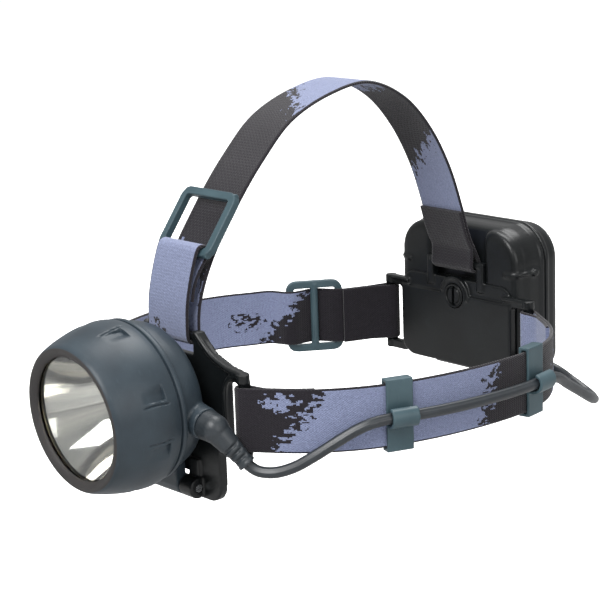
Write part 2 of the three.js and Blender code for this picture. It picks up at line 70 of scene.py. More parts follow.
# Type names of the nodes that most finishes use.
NOISE, RANGE, MATH = "ShaderNodeTexNoise", "ShaderNodeMapRange", "ShaderNodeMath"
MIX, BUMP, MAPPING = "ShaderNodeMix", "ShaderNodeBump", "ShaderNodeMapping"
# Most of a noise lies between these two values, so they are what gets stretched.
MIDDLE = {"From Min": 0.3, "From Max": 0.7}

# Radii in millimetres that several pieces share.
POST = 1.75
TILT_KNUCKLE = 4.2
TILT_BORE = 1.9

Points = np.ndarray
Faces = list[tuple[int, ...]]
Pair = tuple[float, float]
Triple = tuple[float, float, float]


class Body(Enum):
    """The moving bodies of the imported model."""

    HARNESS = "harness"
    LAMP = "lamp"
    OPTICS = "optics"
    BEZEL = "bezel"
    COVER = "cover"
    LOCK = "lock"


class Side(Enum):
    """Which side of the head a piece is on."""

    LEFT = 1.0
    RIGHT = -1.0


# ---- meshes -----------------------------------------------------------------------------------------


def smoothstep(x: Points) -> Points:
    """Ease from 0 to 1 as x goes from 0 to 1."""
    t = np.clip(x, 0.0, 1.0)
    return t * t * (3 - 2 * t)


def new_piece(name: str, verts: Points, faces: Faces, sharp: float = 35.0) -> bpy.types.Object:
    """Make a mesh object at the origin.

    Args:
        name: The piece's name.
        verts: Its vertices in millimetres.
        faces: Its faces as vertex numbers.
        sharp: Edges that turn by more than this many degrees stay crisp.

    Returns:
        The new object, with its faces turned outward.
    """
    mesh = bpy.data.meshes.new(name)
    mesh.from_pydata((np.asarray(verts, float) * MM).tolist(), [], faces)
    obj = bpy.data.objects.new(name, mesh)
    bpy.context.scene.collection.objects.link(obj)
    face_outward(obj)
    shade(obj, sharp)
    return obj


def face_outward(obj: bpy.types.Object) -> None:
    """Merge doubled vertices and turn every face outward.

    Args:
        obj: An object with a closed mesh.
    """
    bm = bmesh.new()
    bm.from_mesh(obj.data)
    bmesh.ops.remove_doubles(bm, verts=bm.verts, dist=1e-7)
    bmesh.ops.recalc_face_normals(bm, faces=bm.faces)
    bm.to_mesh(obj.data)
    bm.free()


def shade(obj: bpy.types.Object, sharp: float) -> None:
    """Shade a mesh smooth, apart from edges that turn by more than `sharp` degrees."""
    obj.data.shade_smooth()
    obj.data.set_sharp_from_angle(angle=math.radians(sharp))


def applied(obj: bpy.types.Object) -> bpy.types.Object:
    """Turn an object's modifiers into a plain mesh.

    Args:
        obj: The object.

    Returns:
        The same object.
    """
    bpy.context.view_layer.update()
    graph = bpy.context.evaluated_depsgraph_get()
    result = bpy.data.meshes.new_from_object(obj.evaluated_get(graph), depsgraph=graph)
    result.name = obj.name
    obj.modifiers.clear()
    obj.data = result
    return obj


def removed(obj: bpy.types.Object) -> None:
    """Delete a helper object and its mesh.

    Args:
        obj: The object.
    """
    mesh = obj.data
    bpy.data.objects.remove(obj)
    bpy.data.meshes.remove(mesh)


def joined(name: str, pieces: Sequence[bpy.types.Object]) -> bpy.types.Object:
    """Gather closed shells into one object.

    Args:
        name: The name of the result.
        pieces: The objects to gather; they are removed.

    Returns:
        One object that holds every shell.
    """
    bm = bmesh.new()
    for piece in pieces:
        bm.from_mesh(piece.data)
    mesh = bpy.data.meshes.new(name)
    bm.to_mesh(mesh)
    bm.free()
    for piece in pieces:
        removed(piece)
    obj = bpy.data.objects.new(name, mesh)
    bpy.context.scene.collection.objects.link(obj)
    return obj


def carved(obj: bpy.types.Object, tools: Iterable[bpy.types.Object]) -> bpy.types.Object:
    """Cut closed shapes out of a closed mesh.

    Args:
        obj: What is cut.
        tools: What cuts it, one after the other; they are removed.

    Returns:
        The object that was cut.
    """
    for tool in tools:
        cut = obj.modifiers.new("cut", "BOOLEAN")
        cut.operation = "DIFFERENCE"
        cut.solver = "EXACT"
        cut.object = tool
        applied(obj)
        removed(tool)
    return obj


def moulded(obj: bpy.types.Object, voxel: float, rounds: int, factor: float = 0.5) -> bpy.types.Object:
    """Blend overlapping shells into one moulding with soft edges and filleted corners.

    Args:
        obj: An object made of closed shells that overlap.
        voxel: The mesh spacing in millimetres.
        rounds: How many times the surface is relaxed; more gives rounder edges.
        factor: How far each round moves a vertex.

    Returns:
        The same object with one closed mesh.
    """
    remesh = obj.modifiers.new("fuse", "REMESH")
    remesh.mode = "VOXEL"
    remesh.voxel_size = voxel * MM
    soften = obj.modifiers.new("soften", "SMOOTH")
    soften.iterations = rounds
    soften.factor = factor
    applied(obj)
    shade(obj, 180.0)
    return obj


def grid_faces(rows: int, columns: int) -> Faces:
    """Quads between neighbouring rings of vertices.

    Args:
        rows: How many rings there are.
        columns: Vertices in each ring.

    Returns:
        The faces, with each ring closed on itself.
    """
    return [
        (
            r * columns + c,
            r * columns + (c + 1) % columns,
            (r + 1) * columns + (c + 1) % columns,
            (r + 1) * columns + c,
        )
        for r in range(rows - 1)
        for c in range(columns)
    ]


def turned(profile: Sequence[Pair], segments: int) -> tuple[Points, Faces]:
    """Turn (radius, depth) pairs about the -Y axis.

    Args:
        profile: The outline. It closes on itself, or both of its ends lie on the axis.
        segments: Vertices in each ring.

    Returns:
        The vertices and the faces.
    """
    angles = np.arange(segments) * 2 * math.pi / segments
    verts: list[Triple] = []
    rings: list[list[int]] = []
    for radius, depth in profile:
        start = len(verts)
        if radius < 1e-6:
            verts.append((0.0, -depth, 0.0))
            rings.append([start])
            continue
        verts += [(radius * math.cos(a), -depth, radius * math.sin(a)) for a in angles]
        rings.append(list(range(start, start + segments)))
    pairs = list(zip(rings, rings[1:]))
    if profile[0][0] > 1e-6:
        pairs.append((rings[-1], rings[0]))
    faces: Faces = []
    for a, b in pairs:
        for i in range(segments):
            j = (i + 1) % segments
            if len(a) == 1:
                faces.append((a[0], b[j], b[i]))
            elif len(b) == 1:
                faces.append((a[i], a[j], b[0]))
            else:
                faces.append((a[i], a[j], b[j], b[i]))
    return np.array(verts), faces


def through(points: Sequence[Sequence[float]], step: float) -> Points:
    """A smooth curve through points, sampled evenly.

    Args:
        points: Where the curve goes, in two or three dimensions.
        step: The spacing of the samples.

    Returns:
        One row for each sample.
    """
    p = np.array(points, float)
    p = np.vstack([2 * p[0] - p[1], p, 2 * p[-1] - p[-2]])
    knots = np.concatenate([[0.0], np.cumsum(np.linalg.norm(np.diff(p, axis=0), axis=1) ** 0.5)])
    fine = []
    for i in range(1, len(p) - 2):
        t = np.linspace(knots[i], knots[i + 1], 16, endpoint=False)[:, None]
        k0, k1, k2, k3 = knots[i - 1 : i + 3]
        a1 = (k1 - t) / (k1 - k0) * p[i - 1] + (t - k0) / (k1 - k0) * p[i]
        a2 = (k2 - t) / (k2 - k1) * p[i] + (t - k1) / (k2 - k1) * p[i + 1]
        a3 = (k3 - t) / (k3 - k2) * p[i + 1] + (t - k2) / (k3 - k2) * p[i + 2]
        b1 = (k2 - t) / (k2 - k0) * a1 + (t - k0) / (k2 - k0) * a2
        b2 = (k3 - t) / (k3 - k1) * a2 + (t - k1) / (k3 - k1) * a3
        fine.append((k2 - t) / (k2 - k1) * b1 + (t - k1) / (k2 - k1) * b2)
    fine.append(p[-2][None, :])
    return evenly(np.vstack(fine), step)


def lengths(path: Points) -> Points:
    """Distance along a path at each of its points."""
    return np.concatenate([[0.0], np.cumsum(np.linalg.norm(np.diff(path, axis=0), axis=1))])


def evenly(path: Points, step: float) -> Points:
    """Sample a path evenly.

    Args:
        path: The path's points, one row each.
        step: The spacing that is wanted; the true one divides the path exactly.

    Returns:
        The new points.
    """
    s = lengths(path)
    count = max(2, int(round(s[-1] / step)) + 1)
    wanted = np.linspace(0, s[-1], count)
    return np.stack([np.interp(wanted, s, path[:, k]) for k in range(path.shape[1])], axis=1)


def directions(path: Points) -> Points:
    """The unit direction of a path at each of its points."""
    d = np.gradient(path, axis=0)
    return d / np.linalg.norm(d, axis=1)[:, None]


def arc(centre: Pair, radius: float, start: float, end: float, count: int) -> list[Pair]:
    """Points on a round arc, from one angle in degrees to another.

    Args:
        centre: Its middle.
        radius: Its radius.
        start: The first angle.
        end: The last angle.
        count: How many points.

    Returns:
        The points in order.
    """
    return [
        (centre[0] + radius * math.cos(math.radians(a)), centre[1] + radius * math.sin(math.radians(a)))
        for a in np.linspace(start, end, count)
    ]


def rounded_rect(half_w: float, half_h: float, radius: float, steps: int = 8) -> list[Pair]:
    """The outline of a rectangle with round corners, about its middle.

    Args:
        half_w: Half its width.
        half_h: Half its height.
        radius: Its corners' radius.
        steps: Points on each corner.

    Returns:
        The outline, counterclockwise.
    """
    x, y = half_w - radius, half_h - radius
    corners = [(x, y, 0), (-x, y, 90), (-x, -y, 180), (x, -y, 270)]
    return [p for cx, cy, a in corners for p in arc((cx, cy), radius, a, a + 90, steps)]


def prism(outline: Sequence[Pair], y0: float, y1: float, name: str = "prism") -> bpy.types.Object:
    """A flat shape in the XZ plane, made solid.

    Args:
        outline: The shape.
        y0: Where it starts.
        y1: Where it ends.
        name: The object's name.

    Returns:
        The new object.
    """
    n = len(outline)
    verts = [(x, y, z) for y in (y0, y1) for x, z in outline]
    faces = grid_faces(2, n) + [tuple(range(n)), tuple(range(2 * n - 1, n - 1, -1))]
    return new_piece(name, np.array(verts), faces)


def block(low: Triple, high: Triple, name: str = "block") -> bpy.types.Object:
    """A box between two corners, used to cut or to add to a moulding."""
    outline = [(low[0], low[2]), (high[0], low[2]), (high[0], high[2]), (low[0], high[2])]
    return prism(outline, low[1], high[1], name)


def section_frames(path: Points) -> tuple[Points, Points]:
    """Two directions square to a path, carried along it without twisting.

    Args:
        path: The path's points in three dimensions.

    Returns:
        The sideways and the upward direction at each point.
    """
    along = directions(path)
    up = np.array([0.0, 0.0, 1.0]) if abs(along[0][2]) < 0.9 else np.array([1.0, 0.0, 0.0])
    sides = []
    for t in along:
        side = np.cross(up, t)
        side /= np.linalg.norm(side)
        up = np.cross(t, side)
        sides.append(side)
    side = np.array(sides)
    return side, np.cross(along, side)


def swept(
    name: str,
    path: Points,
    radius: Callable[[Points, Points], Points] | float,
    sides: int = 16,
) -> bpy.types.Object:
    """A closed rod along a path.

    Args:
        name: The piece's name.
        path: Its middle line in millimetres.
        radius: One radius, or a function of distance along and angle around.
        sides: Vertices in each ring.

    Returns:
        The rod, with flat ends.
    """
    side, up = section_frames(path)
    s, angle = np.meshgrid(lengths(path), np.arange(sides) * 2 * math.pi / sides, indexing="ij")
    r = radius(s, angle) if callable(radius) else np.full(s.shape, radius)
    ring = side[:, None] * np.cos(angle)[..., None] + up[:, None] * np.sin(angle)[..., None]
    verts = (path[:, None] + ring * r[..., None]).reshape(-1, 3)
    rows = len(path)
    last = (rows - 1) * sides
    faces = grid_faces(rows, sides)
    faces += [tuple(range(sides - 1, -1, -1)), tuple(range(last, last + sides))]
    return new_piece(name, verts, faces)


def rod(a: Triple, b: Triple, radius: float, end: float | None = None, sides: int = 24) -> bpy.types.Object:
    """A straight rod or cone.

    Args:
        a: One end of its axis.
        b: The other end.
        radius: The radius at `a`.
        end: The radius at `b`, if it differs.
        sides: Vertices in each ring.

    Returns:
        The new object.
    """
    path = np.linspace(np.array(a, float), np.array(b, float), 2)
    length = float(np.linalg.norm(path[1] - path[0]))
    far = radius if end is None else end
    return swept("rod", path, lambda s, _: radius + (far - radius) * s / length, sides)


# ---- shader trees -----------------------------------------------------------------------------------


def srgb(code: str) -> tuple[float, float, float, float]:
    """Turn an sRGB colour into linear values.

    Args:
        code: Six hex digits.

    Returns:
        Red, green, blue and an alpha of one.
    """
    parts = [int(code[i : i + 2], 16) / 255 for i in (0, 2, 4)]
    linear = [c / 12.92 if c <= 0.04045 else ((c + 0.055) / 1.055) ** 2.4 for c in parts]
    return (linear[0], linear[1], linear[2], 1.0)


def blotches(size: float) -> float:
    """The scale at which a pattern on metres repeats every `size` millimetres or so."""
    return 1 / (size * MM)


def add_node(
    tree: bpy.types.NodeTree, kind: str, settings: dict | None = None, inputs: dict | None = None
) -> bpy.types.Node:
    """Add a node to a shader or geometry tree.

    Args:
        tree: The tree that gets it.
        kind: The node's type name.
        settings: Its properties.
        inputs: Values, nodes or sockets by input name or number. A node stands for its first output.

    Returns:
        The new node.
    """
    made = tree.nodes.new(kind)
    for key, value in (settings or {}).items():
        setattr(made, key, value)
    for key, value in (inputs or {}).items():
        if isinstance(value, bpy.types.Node):
            tree.links.new(value.outputs[0], made.inputs[key])
        elif isinstance(value, bpy.types.NodeSocket):
            tree.links.new(value, made.inputs[key])
        else:
            made.inputs[key].default_value = value
    return made


@dataclass(frozen=True)
class Finish:
    """What every finish has: a name, a main colour and a roughness."""

    name: str
    colour: str
    roughness: float

    def build(self) -> bpy.types.Material:
        """Make the material once.

        Returns:
            The new material, or the one that was made before.
        """
        known = bpy.data.materials.get(self.name)
        if known:
            return known
        material = bpy.data.materials.new(self.name)
        material.use_nodes = True
        tree = material.node_tree
        tree.nodes.clear()
        shader = add_node(tree, "ShaderNodeBsdfPrincipled")
        shader.inputs["Base Color"].default_value = srgb(self.colour)
        shader.inputs["Roughness"].default_value = self.roughness
        add_node(tree, "ShaderNodeOutputMaterial", inputs={"Surface": shader})
        self.detail(tree, shader)
        return material

    def detail(self, tree: bpy.types.NodeTree, shader: bpy.types.Node) -> None:
        """Add the surface's own pattern."""


@dataclass(frozen=True)
class MouldedPlastic(Finish):
    """Injection-moulded ABS or nylon from a spark-eroded tool: fine even grain, soft sheen, light scuffs."""

    worn: str = "6b7377"
    grain: float = 0.8
    depth: float = 0.02
    mottle: float = 0.25

    def detail(self, tree: bpy.types.NodeTree, shader: bpy.types.Node) -> None:
        """Add flow mottling, scuffs and the tool's grain."""
        place = add_node(tree, "ShaderNodeTexCoord").outputs["Object"]
        swirl = add_node(tree, NOISE, inputs={"Vector": place, "Scale": blotches(14.0), "Detail": 3.0})
        flow = add_node(
            tree, RANGE, inputs={"Value": swirl, **MIDDLE, "To Min": 0.0, "To Max": self.mottle}
        )
        along = add_node(
            tree, MAPPING, inputs={"Vector": place, "Scale": (1, 5, 1), "Rotation": (0.4, 0.2, 0.9)}
        )
        rub = add_node(tree, NOISE, inputs={"Vector": along, "Scale": blotches(5.0), "Detail": 6.0})
        scuff_range = {"Value": rub, "From Min": 0.62, "From Max": 0.74, "To Min": 0.0, "To Max": 0.35}
        scuff = add_node(tree, RANGE, inputs=scuff_range)
        amount = add_node(
            tree, MATH, {"operation": "ADD", "use_clamp": True}, {0: flow, 1: scuff}
        )
        colour = add_node(
            tree, MIX, {"data_type": "RGBA"}, {0: amount, 6: srgb(self.colour), 7: srgb(self.worn)}
        )
        tree.links.new(colour.outputs[2], shader.inputs["Base Color"])
        smooth, dull = self.roughness - 0.05, self.roughness + 0.07
        polish = add_node(tree, RANGE, inputs={"Value": flow, **MIDDLE, "To Min": smooth, "To Max": dull})
        tree.links.new(polish.outputs[0], shader.inputs["Roughness"])
        grain = add_node(tree, NOISE, inputs={"Vector": place, "Scale": blotches(self.grain), "Detail": 2.0})
        bump = add_node(
            tree, BUMP, inputs={"Strength": 0.6, "Distance": self.depth * MM, "Height": grain}
        )
        tree.links.new(bump.outputs[0], shader.inputs["Normal"])
        shader.inputs["Specular IOR Level"].default_value = 0.35


@dataclass(frozen=True)
class WovenElastic(Finish):
    """Jacquard elastic, 25 mm wide: rubber-cored ribs across it, two yarns whose pattern breaks up in specks
    as the colour changes over, and a dark bound edge. Its map runs in millimetres, along and across."""

    dark: str = "1c191f"
    thread: float = 0.62
    rib: float = 1.3
    edge: float = 11.75

    def detail(self, tree: bpy.types.NodeTree, shader: bpy.types.Node) -> None:
        """Add the two yarns, the specks between them, the bound edges and the ribs."""
        links = tree.links
        flat = add_node(tree, "ShaderNodeUVMap", {"uv_map": "weave"})
        tone = add_node(tree, "ShaderNodeAttribute", {"attribute_name": "tone"}).outputs["Fac"]
        picks = add_node(
            tree,
            "ShaderNodeVectorMath",
            {"operation": "SNAP"},
            {0: flat, 1: (self.thread, self.thread * 0.8, 1.0)},
        )
        blotch = add_node(tree, NOISE, inputs={"Vector": picks, "Scale": 0.2, "Detail": 1.0})
        leaf = add_node(
            tree, MAPPING, inputs={"Vector": picks, "Scale": (0.32, 0.62, 1), "Rotation": (0, 0, 0.5)}
        )
        fleck = add_node(tree, NOISE, inputs={"Vector": leaf, "Scale": 1.0, "Detail": 2.0})
        lobes = add_node(
            tree, MATH, {"operation": "MULTIPLY_ADD"}, {0: blotch, 1: 3.4, 2: -1.7}
        )
        flecks = add_node(
            tree, MATH, {"operation": "MULTIPLY_ADD"}, {0: fleck, 1: 6.0, 2: -3.0}
        )
        ragged = add_node(tree, MATH, {"operation": "ADD"}, {0: lobes, 1: flecks})
        field = add_node(tree, MATH, {"operation": "ADD"}, {0: ragged, 1: tone})
        light = add_node(tree, MATH, {"operation": "GREATER_THAN"}, {0: field, 1: 0.0})
        across = add_node(tree, "ShaderNodeSeparateXYZ", inputs={0: flat})
        reach = add_node(tree, MATH, {"operation": "ABSOLUTE"}, {0: across.outputs["Y"]})
        binding = add_node(tree, MATH, {"operation": "LESS_THAN"}, {0: reach, 1: self.edge})
        shown = add_node(tree, MATH, {"operation": "MULTIPLY"}, {0: light, 1: binding})
        yarn = add_node(
            tree, MIX, {"data_type": "RGBA"}, {0: shown, 6: srgb(self.dark), 7: srgb(self.colour)}
        )
        heather = add_node(
            tree, NOISE, inputs={"Vector": picks, "Scale": 1.7, "Detail": 3.0, "Roughness": 0.7}
        )
        shadow = add_node(tree, RANGE, inputs={"Value": heather, **MIDDLE, "To Min": 0.74, "To Max": 1.22})
        grain = add_node(
            tree, "ShaderNodeVectorMath", {"operation": "SCALE"}, {0: yarn.outputs[2], "Scale": shadow}
        )
        links.new(grain.outputs[0], shader.inputs["Base Color"])
        turn = 2 * math.pi
        rows = add_node(
            tree, MATH, {"operation": "MULTIPLY"}, {0: across.outputs["X"], 1: turn / self.rib}
        )
        wave = add_node(tree, MATH, {"operation": "SINE"}, {0: rows})
        columns = add_node(
            tree, MATH, {"operation": "MULTIPLY"}, {0: across.outputs["Y"], 1: turn / 0.9}
        )
        warp = add_node(tree, MATH, {"operation": "SINE"}, {0: columns})
        cloth = add_node(tree, MATH, {"operation": "MULTIPLY_ADD"}, {0: wave, 1: warp, 2: heather})
        bump = add_node(
            tree, BUMP, inputs={"Strength": 0.7, "Distance": 0.12 * MM, "Height": cloth}
        )
        links.new(bump.outputs[0], shader.inputs["Normal"])
        shader.inputs["Sheen Weight"].default_value = 0.25
        shader.inputs["Sheen Roughness"].default_value = 0.5
        shader.inputs["Specular IOR Level"].default_value = 0.2


@dataclass(frozen=True)
class SoftRubber(Finish):
    """Moulded PVC or nitrile: darker and duller than the plastic, with a faint bloom."""

    bloom: str = "5c6268"

    def detail(self, tree: bpy.types.NodeTree, shader: bpy.types.Node) -> None:
        """Add the bloom and a very slight orange peel."""
        place = add_node(tree, "ShaderNodeTexCoord").outputs["Object"]
        haze = add_node(tree, NOISE, inputs={"Vector": place, "Scale": blotches(6.0), "Detail": 4.0})
        cloud = add_node(tree, RANGE, inputs={"Value": haze, **MIDDLE, "To Min": 0.0, "To Max": 0.3})
        colour = add_node(
            tree, MIX, {"data_type": "RGBA"}, {0: cloud, 6: srgb(self.colour), 7: srgb(self.bloom)}
        )
        tree.links.new(colour.outputs[2], shader.inputs["Base Color"])
        peel = add_node(tree, NOISE, inputs={"Vector": place, "Scale": blotches(0.9), "Detail": 1.0})
        inputs = {"Strength": 0.5, "Distance": 0.02 * MM, "Height": peel}
        tree.links.new(add_node(tree, BUMP, inputs=inputs).outputs[0], shader.inputs["Normal"])


@dataclass(frozen=True)
class Metallised(Finish):
    """Vacuum-deposited aluminium on a moulded bowl: a near mirror with draw marks from the bulb outward, and
    painted reflections as darker bands round the axis.
    """

    # Grey of the painted reflections: the darker bands in the mirror's colour.
    painted_reflection_grey: str = "5f6567"

    def detail(self, tree: bpy.types.NodeTree, shader: bpy.types.Node) -> None:
        """Add painted reflections as darker bands in the colour, and draw streaks in the surface, both
        following the angle round the lamp's axis.
        """
        around = add_node(tree, "ShaderNodeAttribute", {"attribute_name": "around"}).outputs["Fac"]
        noise = add_node(
            tree, NOISE, {"noise_dimensions": "1D"}, {"W": around, "Scale": 5.0, "Detail": 4.0}
        )
        # Painted reflection: darker bands by angle round the axis; the same noise also gives the real draw
        # streaks in the bump.
        bands = add_node(tree, RANGE, inputs={"Value": noise, **MIDDLE, "To Min": -0.6, "To Max": 1.1})
        colour = add_node(
            tree, MIX, {"data_type": "RGBA"}, {0: bands, 6: srgb(self.colour), 7: srgb(self.painted_reflection_grey)}
        )
        tree.links.new(colour.outputs[2], shader.inputs["Base Color"])
        shader.inputs["Metallic"].default_value = 1.0
        inputs = {"Strength": 0.25, "Distance": 0.5 * MM, "Height": noise}
        tree.links.new(add_node(tree, BUMP, inputs=inputs).outputs[0], shader.inputs["Normal"])


@dataclass(frozen=True)
class ClearMoulding(Finish):
    """Polished polycarbonate or glass: clear, with the faintest ripple from moulding."""

    glow: float = 0.0

    def detail(self, tree: bpy.types.NodeTree, shader: bpy.types.Node) -> None:
        """Let light through, and let the bulb's envelope shine a little."""
        shader.inputs["Transmission Weight"].default_value = 1.0
        shader.inputs["IOR"].default_value = 1.49
        if self.glow:
            shader.inputs["Emission Color"].default_value = srgb("fff1d2")
            shader.inputs["Emission Strength"].default_value = self.glow
        place = add_node(tree, "ShaderNodeTexCoord").outputs["Object"]
        ripple = add_node(tree, NOISE, inputs={"Vector": place, "Scale": blotches(9.0), "Detail": 0.0})
        inputs = {"Strength": 0.15, "Distance": 0.1 * MM, "Height": ripple}
        tree.links.new(add_node(tree, BUMP, inputs=inputs).outputs[0], shader.inputs["Normal"])


@dataclass(frozen=True)
class PlatedMetal(Finish):
    """Drawn wire, turned pins or pressed strip with a bright plating and fine draw lines."""

    def detail(self, tree: bpy.types.NodeTree, shader: bpy.types.Node) -> None:
        """Add draw lines in the roughness and the surface."""
        shader.inputs["Metallic"].default_value = 1.0
        place = add_node(tree, "ShaderNodeTexCoord").outputs["Object"]
        drawn = add_node(tree, MAPPING, inputs={"Vector": place, "Scale": (0.15, 1, 1)})
        lines = add_node(tree, NOISE, inputs={"Vector": drawn, "Scale": blotches(0.4), "Detail": 3.0})
        smooth, dull = self.roughness - 0.08, self.roughness + 0.12
        rough = add_node(tree, RANGE, inputs={"Value": lines, **MIDDLE, "To Min": smooth, "To Max": dull})
        tree.links.new(rough.outputs[0], shader.inputs["Roughness"])
        inputs = {"Strength": 0.3, "Distance": 0.01 * MM, "Height": lines}
        tree.links.new(add_node(tree, BUMP, inputs=inputs).outputs[0], shader.inputs["Normal"])


@dataclass(frozen=True)
class ClosedCellFoam(Finish):
    """Skinned EVA foam: dull, with shallow closed cells about a millimetre across."""

    def detail(self, tree: bpy.types.NodeTree, shader: bpy.types.Node) -> None:
        """Add the cells to the colour and the surface."""
        place = add_node(tree, "ShaderNodeTexCoord").outputs["Object"]
        cells = add_node(
            tree, "ShaderNodeTexVoronoi", {"feature": "SMOOTH_F1"}, {"Vector": place, "Scale": 1 / (1.1 * MM)}
        )
        tint = add_node(tree, RANGE, inputs={"Value": cells, **MIDDLE, "To Min": 0.7, "To Max": 1.3})
        grey = add_node(
            tree, "ShaderNodeVectorMath", {"operation": "SCALE"}, {0: srgb(self.colour)[:3], "Scale": tint}
        )
        tree.links.new(grey.outputs[0], shader.inputs["Base Color"])
        inputs = {"Strength": 0.6, "Distance": 0.15 * MM, "Height": cells}
        tree.links.new(add_node(tree, BUMP, inputs=inputs).outputs[0], shader.inputs["Normal"])


# Grey-blue moulded ABS of the lamp: low sheen, so its curves read as soft gradients.
LAMP_ABS = MouldedPlastic("ABS grey-blue, moulded", "293239", 0.46, "3a464e", 0.9, 0.02, 0.5)
# The bezel's rim is left as it comes from the tool, a browner and duller grey.
RIM_ABS = MouldedPlastic("ABS rim, as moulded", "302e2e", 0.6, "3e3c3b", 0.7, 0.03, 0.5)
# Glass-filled nylon of the plates and the case: near black, with a waxy highlight.
BLACK_NYLON = MouldedPlastic("Nylon black, moulded", "0c0e0f", 0.38, "1a1e20", 0.9, 0.03, 0.4)
# Acetal of the buckles and keepers: smooth, a little glossy, faded in patches.
TEAL_ACETAL = MouldedPlastic("Acetal teal-grey, moulded", "384b52", 0.42, "4d6269", 1.2, 0.012, 0.5)
# The elastic's light yarn with its charcoal partner.
WEBBING = WovenElastic("Jacquard elastic, woven", "7a829f", 0.9)
# Sewing thread and its shadow.
THREAD = SoftRubber("Polyester thread, bonded", "15141a", 0.7, "26252d")
# The lead's jacket: dark, with a soft even gleam along it.
CORD_PVC = SoftRubber("PVC cord jacket, extruded", "23272b", 0.36, "343a3f")
# The plug is moulded over the lead's end, a shade duller than the jacket.
PLUG_PVC = SoftRubber("PVC plug, overmoulded", "252a2e", 0.42, "353c42")
# Seals and grommet: flat black.
NITRILE = SoftRubber("Nitrile seal, moulded", "101112", 0.6, "232425")
# The reflector: bright and almost sharp, broken by darker bands of painted reflection.
MIRROR = Metallised("Aluminium film, vacuum deposited", "e4e0d6", 0.09)
# The window: clear enough to show the bowl, with a slight shine.
LENS = ClearMoulding("Polycarbonate lens, polished", "fbfdfd", 0.02)
# The bulb's envelope: clear glass with a warm light in it.
BULB = ClearMoulding("Soda glass bulb, blown", "fffaf0", 0.03, 30.0)
# Pins and springs: pale grey metal.
STEEL = PlatedMetal("Steel, nickel plated", "b9bcbe", 0.28)
# Contact strips and the bulb's base: yellow metal, a little dull.
BRASS = PlatedMetal("Brass, pressed and plated", "b8964c", 0.32)
# The brow pad: black and matt.
FOAM = ClosedCellFoam("EVA foam, skinned", "1b1b1d", 0.9)
# The cells' blue sleeves: smooth and fairly glossy.
SLEEVE = MouldedPlastic("PVC cell sleeve, shrunk on", "27507c", 0.3, "3f6c9a", 1.5, 0.01, 0.3)


def settle(
    piece: bpy.types.Object, body: Body, finish: Finish, stands_for: Sequence[str] = ()
) -> bpy.types.Object:
    """Dress a finished piece and hand it to the frame.

    Args:
        piece: The object.
        body: The body that it moves with.
        finish: Its material.
        stands_for: The CAD nodes that it replaces.

    Returns:
        The piece.
    """
    if not piece.data.materials:
        piece.data.materials.append(finish.build())
    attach(piece, body.value)
    if stands_for:
        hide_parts(*stands_for)
    LOG.info("%s: %d faces on %s", piece.name, len(piece.data.polygons), body.value)
    return piece


def dress_node(node: str, finish: Finish) -> None:
    """Give a CAD node that keeps its shape a finished material.

    Args:
        node: The node.
        finish: Its material.
    """
    obj = frame["nodes"][node]
    obj.data.materials.clear()
    obj.data.materials.append(finish.build())
    LOG.info("%s: CAD shape kept, %s", node, finish.name)


# ---- geometry node trees ----------------------------------------------------------------------------


def new_tree(name: str, inputs: Sequence[tuple[str, str]]) -> tuple[bpy.types.NodeTree, bpy.types.Node]:
    """Start a geometry tree.

    Args:
        name: The tree's name.
        inputs: Name and socket type of each input after the geometry.

    Returns:
        The tree and its input node.
    """
    tree = bpy.data.node_groups.new(name, "GeometryNodeTree")
    tree.interface.new_socket("Geometry", in_out="INPUT", socket_type="NodeSocketGeometry")
    for label, kind in inputs:
        tree.interface.new_socket(label, in_out="INPUT", socket_type=kind)
    tree.interface.new_socket("Geometry", in_out="OUTPUT", socket_type="NodeSocketGeometry")
    return tree, tree.nodes.new("NodeGroupInput")


def close_tree(tree: bpy.types.NodeTree, shape: bpy.types.Node, material: bpy.types.NodeSocket) -> None:
    """End a geometry tree with Realize Instances and Set Material.

    Args:
        tree: The tree.
        shape: The node that gives its shape.
        material: The socket that gives its material.
    """
    real = add_node(tree, "GeometryNodeRealizeInstances", inputs={"Geometry": shape})
    dressed = add_node(tree, "GeometryNodeSetMaterial", inputs={"Geometry": real, "Material": material})
    add_node(tree, "NodeGroupOutput", inputs={0: dressed})


def grown(
    name: str, tree: bpy.types.NodeTree, values: dict, verts: Points, edges: list[tuple[int, int]]
) -> bpy.types.Object:
    """Run a geometry tree on a line drawing and keep the result as a plain mesh.

    Args:
        name: The piece's name.
        tree: The geometry tree.
        values: The modifier's inputs by label.
        verts: The drawing's points in millimetres.
        edges: The drawing's lines.

    Returns:
        The new object.
    """
    mesh = bpy.data.meshes.new(name)
    mesh.from_pydata((np.asarray(verts, float) * MM).tolist(), edges, [])
    obj = bpy.data.objects.new(name, mesh)
    bpy.context.scene.collection.objects.link(obj)
    modifier = obj.modifiers.new("grow", "NODES")
    modifier.node_group = tree
    sockets = {s.name: s.identifier for s in tree.interface.items_tree if s.in_out == "INPUT"}
    for label, value in values.items():
        modifier[sockets[label]] = value
    obj.update_tag()
    applied(obj)
    return obj


